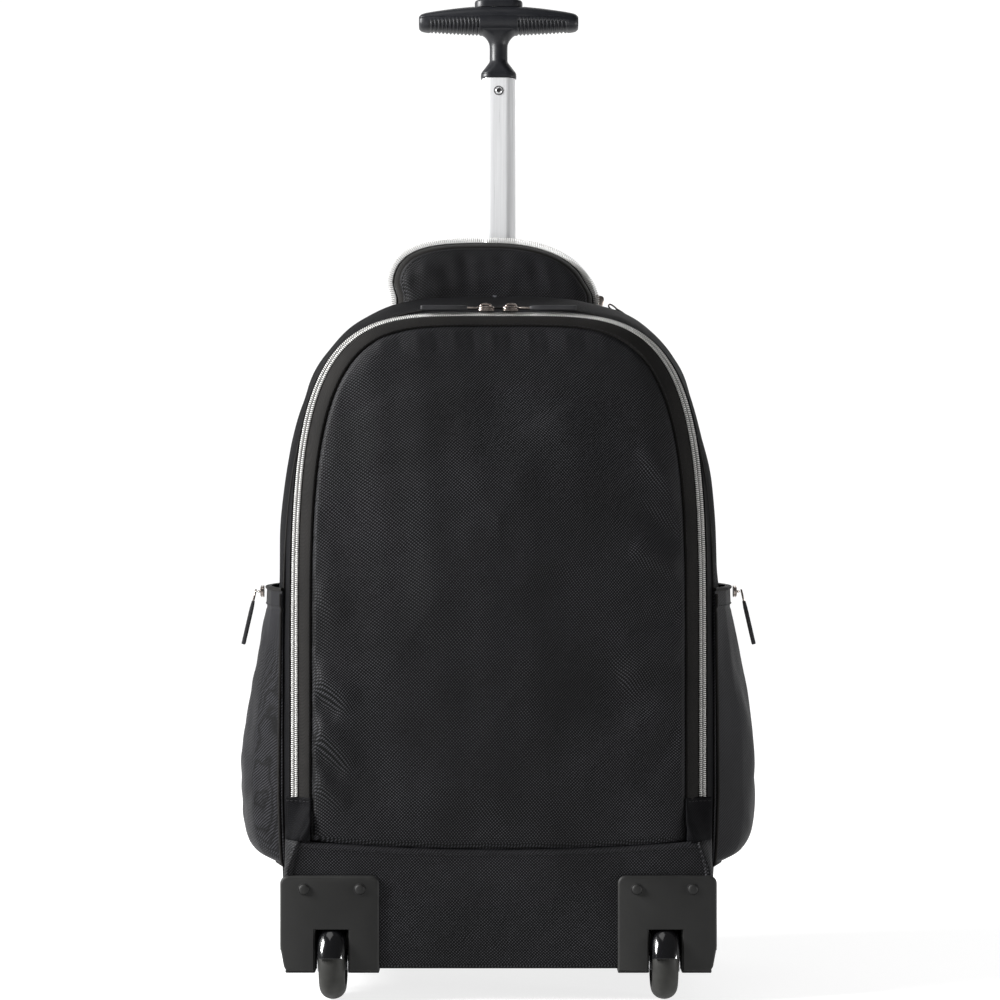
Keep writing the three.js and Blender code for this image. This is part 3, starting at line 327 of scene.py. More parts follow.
def repeated(name, places, axes, shape, faces, material):
    """Copies of one small shape, each placed by its origin and three axes, as one mesh."""
    points = places[:, None] + np.einsum("kc,ncd->nkd", shape, axes)
    offset = (np.arange(len(places)) * len(shape))[:, None, None]
    every = (np.array(faces)[None] + offset).reshape(-1, len(faces[0]))
    return mesh_piece(name, points, every, material, merge=0.001, sharp=60)


def bean(length, width, height, sides=6):
    """A small rounded bar along the first axis: its points and its faces."""
    stations = [(-0.5, 0.45), (-0.34, 1.0), (0.34, 1.0), (0.5, 0.45)]
    angle = (np.arange(sides) + 0.5) / sides * 2 * math.pi
    points = [[s * length, math.cos(a) * r * width / 2, math.sin(a) * r * height / 2]
              for s, r in stations for a in angle]
    faces = grid_faces(len(stations), sides, close_columns=True)
    last = len(points) - sides
    for k in range(1, sides - 2, 2):
        faces.append((0, k, k + 1, k + 2))
        faces.append((last, last + k + 2, last + k + 1, last + k))
    return np.array(points), faces


def stitches(name, path, up, material, body, pitch=3.3, length=2.3, width=0.55):
    """A row of thread stitches lying on a surface whose outward direction is up."""
    path = np.asarray(path, float)
    up = np.broadcast_to(np.asarray(up, float), path.shape)
    places, _ = spaced(path, pitch)
    nearest = np.array([np.argmin(((path - p) ** 2).sum(1)) for p in places])
    tangent = unit(np.gradient(path, axis=0))[nearest]
    up = unit(up[nearest])
    side = unit(np.cross(up, tangent))
    shape, faces = bean(length, width, width * 0.8)
    axes = np.stack([tangent, side, up], axis=1)
    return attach(repeated(name, places, axes, shape, faces, material), body)


def soft_noise(points, wavelength, seed, waves=7):
    """A smooth irregular field from -1 to 1 over points, the same in each run."""
    rng = np.random.default_rng(seed)
    points = np.asarray(points, float)
    total = np.zeros(points.shape[:-1])
    for _ in range(waves):
        direction = unit(rng.normal(size=3))
        stretch = rng.uniform(0.7, 1.6)
        total += np.sin(points @ direction * (2 * math.pi / (wavelength * stretch)) + rng.uniform(0, 6.28))
    return total / waves**0.5 / 1.2


def folds(points, strokes, plane=(0, 2)):
    """The height of soft folds. A stroke is (start, end, half width, height) in the given plane."""
    flat = np.asarray(points, float)[..., list(plane)]
    height = np.zeros(flat.shape[:-1])
    for start, end, width, rise in strokes:
        a, b = np.array(start, float), np.array(end, float)
        along = (flat - a) @ (b - a) / ((b - a) @ (b - a))
        nearest = a + np.clip(along, 0, 1)[..., None] * (b - a)
        distance = np.linalg.norm(flat - nearest, axis=-1)
        taper = np.clip(1 - (2 * np.clip(along, 0, 1) - 1) ** 4, 0.12, 1)
        height += rise * taper * np.exp(-((distance / width) ** 2))
    return height


# ---- Materials -----------------------------------------------------------------------------------


class Shader:
    """A Principled material with short calls for the nodes that it needs."""

    def __init__(self, name, roughness=0.5, metallic=0.0, **sockets):
        self.material = bpy.data.materials.new(name)
        self.material.use_nodes = True
        self.nodes = self.material.node_tree.nodes
        self.links = self.material.node_tree.links
        self.bsdf = self.nodes["Principled BSDF"]
        self.bsdf.inputs["Roughness"].default_value = roughness
        self.bsdf.inputs["Metallic"].default_value = metallic
        for socket, value in sockets.items():
            self.bsdf.inputs[socket.replace("_", " ")].default_value = value
        coordinates = self.nodes.new("ShaderNodeTexCoord")
        scale = self.nodes.new("ShaderNodeVectorMath")
        scale.operation = "SCALE"
        scale.inputs["Scale"].default_value = 1 / MM
        self.links.new(coordinates.outputs["Object"], scale.inputs[0])
        self.place = scale.outputs[0]  # the point on the object, in millimetres

    def math(self, operation, *inputs):
        node = self.nodes.new("ShaderNodeMath")
        node.operation = operation
        for slot_, value in zip(node.inputs, inputs):
            if isinstance(value, (int, float)):
                slot_.default_value = value
            else:
                self.links.new(value, slot_)
        return node.outputs[0]

    def axes(self):
        node = self.nodes.new("ShaderNodeSeparateXYZ")
        self.links.new(self.place, node.inputs[0])
        return node.outputs

    def noise(self, size, detail=3.0, stretch=(1, 1, 1)):
        """Noise whose features are about size millimetres across."""
        node = self.nodes.new("ShaderNodeTexNoise")
        node.inputs["Scale"].default_value = 1.0 / size
        node.inputs["Detail"].default_value = detail
        mapping = self.nodes.new("ShaderNodeMapping")
        mapping.inputs["Scale"].default_value = stretch
        self.links.new(self.place, mapping.inputs[0])
        self.links.new(mapping.outputs[0], node.inputs["Vector"])
        return node.outputs["Fac"]

    def wave(self, value, period):
        """A sine of a value in millimetres, from 0 to 1."""
        sine = self.math("SINE", self.math("MULTIPLY", value, 2 * math.pi / period))
        return self.math("MULTIPLY_ADD", sine, 0.5, 0.5)

    def ramp(self, factor, *stops):
        node = self.nodes.new("ShaderNodeValToRGB")
        elements = node.color_ramp.elements
        while len(elements) < len(stops):
            elements.new(0.5)
        for element, (position, colour) in zip(elements, stops):
            element.position = position
            element.color = (*colour, 1) if hasattr(colour, "__len__") else (colour,) * 3 + (1,)
        self.links.new(factor, node.inputs[0])
        return node.outputs[0]

    def multiply(self, first, second, share=1.0):
        node = self.nodes.new("ShaderNodeMix")
        node.data_type = "RGBA"
        node.blend_type = "MULTIPLY"
        node.inputs[0].default_value = share
        self.links.new(first, node.inputs[6])
        self.links.new(second, node.inputs[7])
        return node.outputs[2]

    def colour(self, output):
        self.links.new(output, self.bsdf.inputs["Base Color"])

    def roughness(self, factor, low, high):
        self.links.new(self.ramp(factor, (0.2, low), (0.8, high)), self.bsdf.inputs["Roughness"])

    def bump(self, height, distance, strength=1.0, below=None):
        """Relief that stands distance millimetres high."""
        node = self.nodes.new("ShaderNodeBump")
        node.inputs["Strength"].default_value = strength
        node.inputs["Distance"].default_value = distance * MM
        self.links.new(height, node.inputs["Height"])
        if below is not None:
            self.links.new(below, node.inputs["Normal"])
        self.links.new(node.outputs[0], self.bsdf.inputs["Normal"])
        return node.outputs[0]


def weave_height(shader, cell):
    """A basket weave seen on faces of any direction: 0 in the gaps, 1 on the crowns of the yarns."""
    x, y, z = shader.axes()
    stray = shader.math("MULTIPLY", shader.noise(14, 2), 2.2)
    across = shader.math("ADD", shader.math("ADD", x, y), stray)
    up = shader.math("SUBTRACT", shader.math("ADD", z, y), stray)
    first = shader.math("SINE", shader.math("MULTIPLY", across, math.pi / cell))
    second = shader.math("SINE", shader.math("MULTIPLY", up, math.pi / cell))
    return shader.math("MULTIPLY_ADD", shader.math("MULTIPLY", first, second), 0.5, 0.5)


def woven_fabric(name, dark, light, cell=1.1, relief=0.24, roughness=0.55, shine=0.08):
    """Heavy woven nylon: bright yarn crowns in a dark ground, with slow changes of shade."""
    shader = Shader(name, roughness, Specular_IOR_Level=shine)
    weave = weave_height(shader, cell)
    yarn = shader.ramp(weave, (0.5, dark), (0.93, light))
    cloudy = shader.ramp(shader.noise(60, 4), (0.3, (0.72, 0.72, 0.72)), (0.7, (1.15, 1.15, 1.18)))
    speckled = shader.ramp(shader.noise(2.6, 2), (0.3, (0.75, 0.75, 0.75)), (0.7, (1.2, 1.2, 1.2)))
    shader.colour(shader.multiply(shader.multiply(yarn, cloudy), speckled, 0.7))
    creased = shader.bump(shader.noise(22, 3), 1.1, 0.35)
    shader.bump(weave, relief, 0.8, creased)
    return shader.material


def ribbed_fabric(name, dark, light, period=1.0, relief=0.16, roughness=0.7):
    """Grosgrain, tape or webbing: fine ribs along each axis-aligned direction."""
    shader = Shader(name, roughness, Specular_IOR_Level=0.08, Sheen_Weight=0.015, Sheen_Roughness=0.5)
    x, y, z = shader.axes()
    ribs = shader.wave(shader.math("ADD", shader.math("ADD", x, y), z), period)
    cross = shader.wave(shader.math("SUBTRACT", z, shader.math("ADD", x, y)), period * 0.7)
    both = shader.math("MULTIPLY", ribs, cross)
    cloudy = shader.ramp(shader.noise(30, 3), (0.3, (0.7, 0.7, 0.7)), (0.7, (1.2, 1.18, 1.15)))
    shader.colour(shader.multiply(shader.ramp(both, (0.1, dark), (0.8, light)), cloudy))
    shader.bump(both, relief, 0.8, shader.bump(shader.noise(12, 2), 0.5, 0.3))
    return shader.material


def mesh_padding():
    """Open spacer mesh over foam: round holes in rows."""
    shader = Shader("padding_mesh", 0.85, Specular_IOR_Level=0.12, Sheen_Weight=0.04, Sheen_Roughness=0.5)
    x, y, z = shader.axes()
    row = shader.math("SINE", shader.math("MULTIPLY", shader.math("ADD", x, y), math.pi / 1.9))
    column = shader.math("SINE", shader.math("MULTIPLY", z, math.pi / 1.9))
    holes = shader.math("ABSOLUTE", shader.math("MULTIPLY", row, column))
    thread = shader.ramp(holes, (0.2, 0.035), (0.55, 0.006))
    shader.colour(shader.multiply(thread, shader.ramp(shader.noise(25, 3), (0.3, 0.7), (0.7, 1.2))))
    shader.bump(shader.math("SUBTRACT", 1.0, holes), 0.5, 0.8)
    return shader.material


def moulded_plastic(name, shade, light, roughness, grain=0.35, relief=0.05, coat=0.0, shine=0.3):
    """Moulded plastic with a fine spark grain, faint flow marks and rubbed patches."""
    shader = Shader(name, roughness, Specular_IOR_Level=shine, Coat_Weight=coat, Coat_Roughness=0.08)
    flow = shader.noise(40, 4, (1, 1, 0.5))
    shader.colour(shader.ramp(flow, (0.3, shade), (0.7, light)))
    shader.roughness(shader.noise(9, 3), max(roughness - 0.07, 0.02), roughness + 0.09)
    shader.bump(shader.noise(grain, 2), relief, 0.6)
    return shader.material


def rubber(name, shade, light, roughness=0.75):
    shader = Shader(name, roughness, Specular_IOR_Level=0.2)
    shader.colour(shader.ramp(shader.noise(14, 5), (0.3, shade), (0.7, light)))
    shader.roughness(shader.noise(5, 3), roughness - 0.1, min(roughness + 0.1, 1.0))
    shader.bump(shader.noise(0.6, 3), 0.06, 0.6)
    return shader.material


def brushed_aluminium():
    """Satin anodised tube, drawn along Z."""
    shader = Shader("tube_aluminium", 0.34, 0.3, Specular_IOR_Level=0.5)
    drawn = shader.noise(1.1, 3, (1, 1, 0.02))
    shader.colour(shader.ramp(drawn, (0.3, (0.5, 0.503, 0.51)), (0.7, (0.56, 0.563, 0.57))))
    shader.roughness(drawn, 0.26, 0.38)
    shader.bump(drawn, 0.02, 0.35)
    return shader.material


def metal(name, shade, light, roughness):
    shader = Shader(name, roughness, 1.0)
    shader.colour(shader.ramp(shader.noise(3, 4), (0.3, shade), (0.7, light)))
    shader.roughness(shader.noise(1.6, 3), roughness * 0.7, roughness * 1.4)
    shader.bump(shader.noise(0.8, 2), 0.02, 0.5)
    return shader.material


def coil_plastic():
    """Silver-white nylon coil."""
    shader = Shader("zip_coil", 0.38, 0.15, Specular_IOR_Level=0.6)
    shader.colour(shader.ramp(shader.noise(1.3, 2), (0.3, (0.3, 0.296, 0.287)), (0.7, (0.44, 0.436, 0.423))))
    shader.bump(shader.noise(0.5, 2), 0.03, 0.5)
    return shader.material


def pale_backdrop():
    white = (1.0, 1.0, 1.0, 1.0)
    shader = Shader("studio_paper", 0.9, Specular_IOR_Level=0.05, Emission_Color=white, Emission_Strength=0.8)
    shader.colour(shader.ramp(shader.noise(900, 2), (0.3, (0.3, 0.3, 0.3)), (0.7, (0.32, 0.32, 0.32))))
    return shader.material


TWILL = woven_fabric("fabric_weave", (0.0005, 0.0005, 0.0006), (0.034, 0.034, 0.037))
GUSSET = woven_fabric("fabric_gusset", (0.0022, 0.0022, 0.0025), (0.0085, 0.0085, 0.0095), 0.9, 0.08, 0.7,
                      0.03)
POCKET = woven_fabric("fabric_pocket", (0.0007, 0.0007, 0.0009), (0.022, 0.022, 0.0255), 1.1, 0.16, 0.5, 0.07)
TAPE = ribbed_fabric("binding_tape", (0.0024, 0.0022, 0.002), (0.012, 0.011, 0.0105))
WEBBING = ribbed_fabric("webbing_ribs", (0.003, 0.003, 0.0032), (0.026, 0.026, 0.028), 2.0, 0.4)
LINING = woven_fabric("lining_taffeta", (0.045, 0.046, 0.05), (0.095, 0.097, 0.105), 0.7, 0.06, 0.5, 0.3)
MESH = mesh_padding()
THREAD = ribbed_fabric("sewing_thread", (0.006, 0.006, 0.0065), (0.03, 0.03, 0.032), 0.5, 0.05)
COIL = coil_plastic()
GUNMETAL = metal("slider_gunmetal", (0.16, 0.135, 0.12), (0.42, 0.37, 0.34), 0.2)
PULL = rubber("pull_rubber", (0.012, 0.012, 0.013), (0.02, 0.02, 0.022), 0.5)
TUBE = brushed_aluminium()
GRIP = moulded_plastic("grip_plastic", (0.0032, 0.0035, 0.005), (0.0055, 0.006, 0.008), 0.42, 0.5, 0.06,
                       shine=0.3)
PLATE = moulded_plastic("plate_plastic", (0.0075, 0.0075, 0.0073), (0.0115, 0.0115, 0.011), 0.54, 0.4, 0.07,
                        shine=0.2)
GLOSS = moulded_plastic("gloss_black", (0.0015, 0.0015, 0.0018), (0.003, 0.003, 0.0036), 0.14, 2.0, 0.01,
                        0.35)
# DARK is dark plastic for the wheel wells and the tube foot, and also the colour of painted shade: the rings
# round the screw and the rivets and the disc over the screw's recess.
DARK = moulded_plastic("dark_plastic_and_painted_shade", (0.003, 0.003, 0.003), (0.007, 0.007, 0.007), 0.6)
TYRE = rubber("tyre_rubber", (0.012, 0.012, 0.011), (0.022, 0.022, 0.02), 0.62)
POCKET_COIL = moulded_plastic("pocket_coil", (0.004, 0.004, 0.004), (0.01, 0.01, 0.01), 0.4, 0.5, 0.03)
STEEL = metal("plain_steel", (0.45, 0.45, 0.46), (0.62, 0.62, 0.63), 0.25)
BUCKLE = moulded_plastic("buckle_acetal", (0.004, 0.004, 0.004), (0.009, 0.009, 0.009), 0.3, 0.8, 0.03)
BOARD = moulded_plastic("board_sheet", (0.03, 0.03, 0.031), (0.05, 0.05, 0.052), 0.55, 3.0, 0.12)


# ---- Camera, light and floor ---------------------------------------------------------------------


def make_camera():
    data = bpy.data.cameras.new("camera")
    data.lens = 87.43
    data.clip_start, data.clip_end = 0.05, 60
    camera = link(bpy.data.objects.new("camera", data))
    camera.location = in_frame([1.05, -1800, 353])[0]
    camera.rotation_euler = (math.pi / 2, 0, 0)
    bpy.context.scene.camera = camera


def area_light(name, place, target, width, height, power, colour=(1, 1, 1)):
    data = bpy.data.lights.new(name, "AREA")
    data.shape = "RECTANGLE"
    data.size, data.size_y = width, height
    data.energy = power
    data.color = colour
    light = link(bpy.data.objects.new(name, data))
    light.location = place
    light.rotation_euler = (Vector(target) - Vector(place)).to_track_quat("-Z", "Y").to_euler()


def make_studio():
    """A pale sweep of paper, soft boxes on both sides, above and behind, and a dim even surround."""
    profile = [(-70.0, 0.0), (3.0, 0.0)]
    profile += [(3.0 + 2.0 * math.sin(a), 2.0 - 2.0 * math.cos(a)) for a in np.linspace(0.1, math.pi / 2, 16)]
    profile += [(5.0, 9.0)]
    grid = np.array([[(x, y, z) for x in (-45.0, 45.0)] for y, z in profile]) / MM - SHIFT
    sweep = grid_piece("studio_sweep", grid, pale_backdrop())
    world = bpy.data.worlds.new("studio")
    world.use_nodes = True
    world.node_tree.nodes["Background"].inputs[0].default_value = (1, 1, 1, 1)
    world.node_tree.nodes["Background"].inputs[1].default_value = 0.16
    bpy.context.scene.world = world
    target = (0, 0, 0.33)
    area_light("key", (-2.2, -0.62, 1.3), target, 0.7, 1.1, 230)
    area_light("fill", (1.9, -0.6, 0.12), (0, 0, 0.15), 0.5, 0.4, 26)
    area_light("top", (-0.6, -0.5, 2.4), (0, 0.05, 0.5), 1.2, 1.0, 8)
    area_light("back", (0.6, 2.3, 1.5), (0, 0, 0.35), 1.6, 1.2, 10)
    bpy.context.scene.view_settings.view_transform = "Standard"


# ---- Outlines ------------------------------------------------------------------------------------

ZIP_ARCH = {"half": 144.0, "top": 484.0, "power": 4.3, "shoulder": SHOULDER_Z, "foot": ZIP_FOOT}
GARAGE_ARCH = {"half": 73.6, "top": 546.8, "power": 2.25, "shoulder": 504.0, "foot": 498.0}
GARAGE_BACK_ARCH = {"half": 76.0, "top": 548.0, "power": 2.25, "shoulder": 504.0, "foot": 498.0}


def arch_points(arch, u, by=0.0, foot=None):
    """A tombstone outline in the XZ plane, from -1 at the left foot over 0 at the top to 1, set in by by."""
    u = np.asarray(u, float)
    rise = arch["top"] - arch["shoulder"]
    share_in = mix(1.0, min(rise / arch["half"], 1.0), np.maximum(by, 0) / arch["half"])
    half, top = arch["half"] - by, arch["top"] - by * share_in
    part = np.abs(u)
    s = np.clip(1 - part / CURVE_SHARE, 0, 1)
    even = arch["power"] / 2
    angle = math.pi / 2 * s**even / (s**even + (1 - s) ** even)
    across = np.abs(np.cos(angle)) ** (2 / arch["power"])
    up = np.abs(np.sin(angle)) ** (2 / arch["power"])
    down = np.clip((part - CURVE_SHARE) / (1 - CURVE_SHARE), 0, 1)
    low = arch["foot"] if foot is None else foot
    z = np.where(part > CURVE_SHARE, mix(arch["shoulder"], low, down), mix(arch["shoulder"], top, up))
    x = np.sign(u) * half * np.where(u == 0, 0, across)
    return np.stack([x, np.zeros_like(z), z], axis=-1)


def arch_outward(arch, u):
    step = 0.002
    along = arch_points(arch, np.minimum(u + step, 1)) - arch_points(arch, np.maximum(u - step, -1))
    return unit(np.stack([-along[..., 2], np.zeros_like(u), along[..., 0]], axis=-1))


def zip_frame(u):
    """The front zip's centre line, and the directions across it towards the panel and out of its face."""
    outward = arch_outward(ZIP_ARCH, u)
    lean = np.radians(mix(68.0, 25.0, outward[..., 2] ** 2))[..., None]
    forward = np.array([0.0, -1.0, 0.0])
    centre = arch_points(ZIP_ARCH, u)
    centre[..., 1] = ZIP_Y
    across = -np.sin(lean) * outward + np.cos(lean) * forward
    return centre, across, np.cos(lean) * outward + np.sin(lean) * forward


def base_seam_z(x):
    """The seam between front panel and base panel sags towards the middle."""
    return mix(BASE_SEAM[1], BASE_SEAM[0], np.clip(np.abs(x) / 150.0, 0, 1) ** 2)


def body_top_at(x, crest=BODY_TOP):
    share = np.minimum(np.abs(x) / BODY_HALF, 1)
    return SHOULDER_Z + (crest - SHOULDER_Z) * (1 - share**BODY_POWER) ** (1 / BODY_POWER)


def wheel_cuts(low, back):
    """Boxes that clear the fabric around each wheel, from a height up and back to a depth."""
    inner, outer = WHEEL["x"] - WELL_HALF, WHEEL["x"] + WELL_HALF
    return [((s * inner, WELL_AHEAD, low), (s * outer, back, WELL_ROOF)) for s in (-1, 1)]


# ---- Zips ----------------------------------------------------------------------------------------

TOOTH_PITCH = 1.45


def coil_row(name, centre, across, face, side, body, reach=2.5, gap=0.12, phase=0.0, material=COIL):
    """One side of a coil zip: slanted loops that stand off the tape's edge."""
    run = np.concatenate([[0], np.cumsum(np.linalg.norm(np.diff(centre, axis=0), axis=1))])
    at = np.arange(TOOTH_PITCH * (0.5 + phase), run[-1], TOOTH_PITCH)

    def sample(field):
        return np.stack([np.interp(at, run, field[:, k]) for k in range(3)], axis=1)

    places, across, face = sample(centre), unit(sample(across)), unit(sample(face))
    along = np.cross(face, across)
    slanted = unit(across * side + along * 0.16)
    places = places + across * side * (gap + reach / 2) + face * 0.1
    shape, faces = bean(reach, 1.05, 1.5, 8)
    axes = np.stack([slanted, np.cross(face, slanted), face], axis=1)
    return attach(repeated(name, places, axes, shape, faces, material), body)


def tape_strip(name, centre, across, face, low, high, node, body, deep=0.75, thick=0.7):
    """The woven tape beside a coil."""
    widths = np.linspace(low, high, 5)
    grid = np.stack([centre + across * w - face * deep for w in widths])
    tape = grid_piece(name, grid, TAPE)
    thicken(tape, thick, offset=0)
    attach(tape, body)
    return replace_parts(tape, node) if node else tape


def front_zip():
    u = np.linspace(-1, 1, 900)
    centre, across, face = zip_frame(u)
    for side, name, body in ((1, "flap_half", "front_flap"), (-1, "body_half", "bag")):
        tape_strip("zip_tape_" + name, centre, across, face, side * 0.1, side * 4.4, "front_zip_" + name,
                   body)
        coil_row("zip_coil_" + name, centre, across, face, side, body, phase=0.25 * (1 + side))


# ---- Front panel ---------------------------------------------------------------------------------

PANEL_CROWN = 10.0
LEFT_FOLDS = [
    ((-133, 238), (-100, 208), 9, 1.5), ((-133, 216), (-112, 200), 7, -1.2),
    ((-133, 200), (-98, 168), 9, 1.7), ((-133, 180), (-108, 158), 7, -1.3),
    ((-132, 160), (-104, 138), 6, 1.2), ((-131, 296), (-108, 268), 9, 0.9),
    ((-122, 350), (-104, 300), 10, -0.7),
]
RIGHT_FOLDS = [
    ((133, 348), (98, 392), 7, 1.2), ((133, 322), (92, 352), 6, -1.1), ((134, 302), (92, 322), 8, 1.4),
    ((134, 272), (88, 262), 8, -1.1), ((133, 252), (84, 226), 10, 1.2), ((132, 200), (96, 150), 10, -1.1),
]
BROAD_FOLDS = [
    ((20, 300), (96, 190), 34, -2.4), ((-60, 262), (10, 214), 30, -1.0), ((-96, 420), (-40, 330), 30, 1.0),
    ((40, 420), (76, 350), 26, 1.0), ((-60, 150), (70, 142), 16, 0.9),
]
TOP_PUCKERS = [((x, 474), (x + 3, 455), 3.2, (-1) ** k * 0.55) for k, x in enumerate(range(-84, 92, 13))]


def panel_depth(by, upward, z):
    """How far forward the panel's surface stands at an inset from the zip."""
    at_side = FRONT_Y + 11.5 * np.exp(-((by / 11.0) ** 1.3))
    at_top = FRONT_Y - 1.8 + 9.5 * np.exp(-((by / 9.5) ** 1.2))
    crown = PANEL_CROWN * smooth(by, 8, 122) * smooth(z, 118, 285)
    return mix(at_side, at_top, upward) - crown


def panel_seam_inset(upward):
    return mix(SEAM_INSET, SEAM_INSET_TOP, upward)


def front_panel_piece():
    """The big panel inside its sewn seam, down to the seam above the base panel."""
    u = np.linspace(-1, 1, 321)
    upward = arch_outward(ZIP_ARCH, u)[:, 2] ** 2
    seam = panel_seam_inset(upward)
    rows = np.concatenate([np.linspace(0, 0.04, 8)[:-1], np.linspace(0.04, 1, 84)])
    by = seam[None] + (ZIP_ARCH["half"] - seam[None]) * rows[:, None]
    feet = base_seam_z(ZIP_ARCH["half"] - by)
    grid = arch_points(ZIP_ARCH, np.broadcast_to(u, by.shape), by, feet)
    z = grid[..., 2]
    tuck = 1.9 * np.exp(-(((by - seam) / 1.5) ** 2)) + 2.6 * np.exp(-(((z - base_seam_z(grid[...,
        0])) / 2.6) ** 2))
    calm = smooth(by - seam, 0.5, 9) * smooth(z - base_seam_z(grid[..., 0]), 1, 14)
    relief = 1.4 * folds(grid, LEFT_FOLDS) * calm + 1.9 * folds(grid, RIGHT_FOLDS + BROAD_FOLDS) * calm
    relief += folds(grid, TOP_PUCKERS)
    relief += calm * (0.7 * soft_noise(grid, 95, 3) + 0.35 * soft_noise(grid, 34, 5))
    grid[..., 1] = panel_depth(by, upward[None], z) + tuck - relief
    panel = grid_piece("front_panel_fabric", grid, [TWILL, LINING], sharp=80)
    thicken(panel, 2.6, lining=True)
    baked(panel, 80)
    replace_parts(panel, "front_panel")
    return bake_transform(panel)


def panel_border():
    """The bound strip between the zip and the sewn seam, with its line of stitches."""
    u = np.linspace(-1, 1, 420)
    centre, across, _ = zip_frame(u)
    upward = arch_outward(ZIP_ARCH, u)[:, 2] ** 2
    seam = panel_seam_inset(upward) + 0.3
    inner = arch_points(ZIP_ARCH, u, seam)
    inner[:, 1] = panel_depth(seam, upward, inner[:, 2])
    outer = centre + across * 3.2
    parts = np.linspace(0, 1, 12)
    grid = np.stack([mix(outer, inner, p) for p in parts])
    bulge = 0.9 * np.sin(math.pi * parts) + 1.4 * smooth(parts, 0.86, 1.0) * -1.0
    grid[..., 1] -= bulge[:, None]
    grid[..., 1] -= 0.12 * soft_noise(grid, 18, 11)
    border = grid_piece("panel_border", grid, TAPE, sharp=80)
    thicken(border, 1.6)
    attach(border, "front_flap")
    line = grid[9] + np.array([0, -0.25, 0])
    stitches("panel_border_stitches", line, (0, -1, 0), THREAD, "front_flap")


# ---- Base panel ----------------------------------------------------------------------------------

BASE_PLAN_LOW = [(151, -84.2), (151, -87), (150.6, -90.5), (149.2, -93.6), (146, -96.2), (141, -97.2),
                 (60, -97.2)]
BASE_PLAN_HIGH = [(150.4, -84.2), (147.5, -85.2), (140.2, -87.4), (136, -90.2), (130, -94.5), (114, -97.2),
                  (60, -97.4)]


def base_plan(blend, count=60):
    """The base panel's plan from its left edge round to the right, at a blend of its two plans."""
    half = mix(np.array(BASE_PLAN_LOW), np.array(BASE_PLAN_HIGH), blend)
    half[:, 0] *= -1
    left = spline(half, count)
    across = np.linspace(-60, 60, 40)[1:-1]
    front = np.stack([across, np.full_like(across, left[-1][1])], axis=1)
    right = left[::-1] * np.array([-1, 1])
    return np.vstack([left, front, right])


def base_blend(z):
    return np.interp(z, [90, 114, 138], [0, 0.35, 1.0])


def base_panel_piece():
    rows = np.concatenate([np.linspace(0, 0.9, 26), np.linspace(0.92, 1, 9)])
    grid = []
    for part in rows:
        level = mix(BODY_BOTTOM + 0.3, 110.0, part)
        plan = base_plan(base_blend(level))
        z = mix(BODY_BOTTOM + 0.3, base_seam_z(plan[:, 0]) - 0.4, part)
        grid.append(np.column_stack([plan, z]))
    grid = np.array(grid)
    below = base_seam_z(grid[..., 0]) - grid[..., 2]
    above = grid[..., 2] - BODY_BOTTOM
    calm = smooth(below, 1, 12) * smooth(above, 1, 12)
    grid[..., 1] += 2.4 * np.exp(-((below / 2.2) ** 2)) + 1.6 * np.exp(-((above / 2.0) ** 2))
    grid[..., 1] -= calm * (0.5 * soft_noise(grid, 70, 21) + 0.25 * soft_noise(grid, 26, 22))
    panel = grid_piece("base_panel_fabric", grid, TWILL, sharp=80)
    thicken(panel, 2.0)
    wells = wheel_cuts(10, -70)
    cut_boxes(panel, wells)
    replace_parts(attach(panel, "bag"), "base_front_panel")
    line = grid[-1].copy()
    line = line[np.abs(line[:, 0]) < 149]
    line[:, 2] -= 3.6
    line[:, 1] -= 2.6
    stitches("base_seam_stitches", line, (0, -1, 0), THREAD, "bag")


def zip_end_tabs():
    """Folded fabric tabs that cover the zip's two lower ends."""
    for side, name in SIDES:
        grid = []
        for z in np.linspace(base_seam_z(145.0) - 1.0, ZIP_FOOT + 2.5, 24):
            plan = base_plan(base_blend(z), 200)
            plan = plan[plan[:, 0] < -TAB_INNER + 1.5]
            at = np.linspace(0, len(plan) - 1, 26)
            x, y = (np.interp(at, np.arange(len(plan)), plan[:, k]) for k in (0, 1))
            grid.append(np.column_stack([-side * x, y, np.full_like(x, z)]))
        grid = np.array(grid)
        height = grid[..., 2] - grid[0, 0, 2]
        lifted = 0.8 + 0.3 * np.sin(height / 30 * math.pi) - 1.2 * np.exp(-((height / 2.5) ** 2))
        grid[..., 1] -= lifted + 0.25 * soft_noise(grid, 16, 31)
        tab = grid_piece("zip_end_tab_" + name, grid, GUSSET, sharp=80)
        thicken(tab, 1.2)
        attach(tab, "bag")
        line = grid[-3] - np.array([0, 0.3, 0])
        stitches("zip_end_stitches_" + name, line, (0, -1, 0), THREAD, "bag")


# ---- Bag body ------------------------------------------------------------------------------------

# Stations from the back face to just behind the rim: depth, half width, crest, base, bottom.
BODY_STATIONS = [
    (90, 136, 482, 132, 38), (84, 149, 498, 147, 27), (70, 156, 502, 152, 24), (40, 160, 503, 154.5, 24),
    (-10, 161, 503, 155, 24), (-50, 158, 495, 153, 24), (-75, 151, 487.5, 149, 24),
]
ARCH_U = np.linspace(-1, 1, 241)
SHELL_WALL = 3.0


def lower_ring(half, base, bottom, y):
    """The ring's lower half, from the right foot of its arch round the bottom to the left foot."""
    arc = np.linspace(0, math.pi / 2, 8)
    down = np.linspace(0, 1, 12)[1:-1]
    side = np.column_stack([mix(half, base, down), mix(ZIP_FOOT, bottom + BOTTOM_CORNER, down)])
    corner = np.column_stack([base - BOTTOM_CORNER + BOTTOM_CORNER * np.cos(arc),
                              bottom + BOTTOM_CORNER - BOTTOM_CORNER * np.sin(arc)])
    across = np.linspace(base - BOTTOM_CORNER, 0, 14)[1:]
    floor = np.column_stack([across, np.full_like(across, bottom)])
    right = np.vstack([side, corner, floor])
    left = right[:-1][::-1] * np.array([-1, 1])
    both = np.vstack([right, left])
    return np.column_stack([both[:, 0], np.full(len(both), y), both[:, 1]])


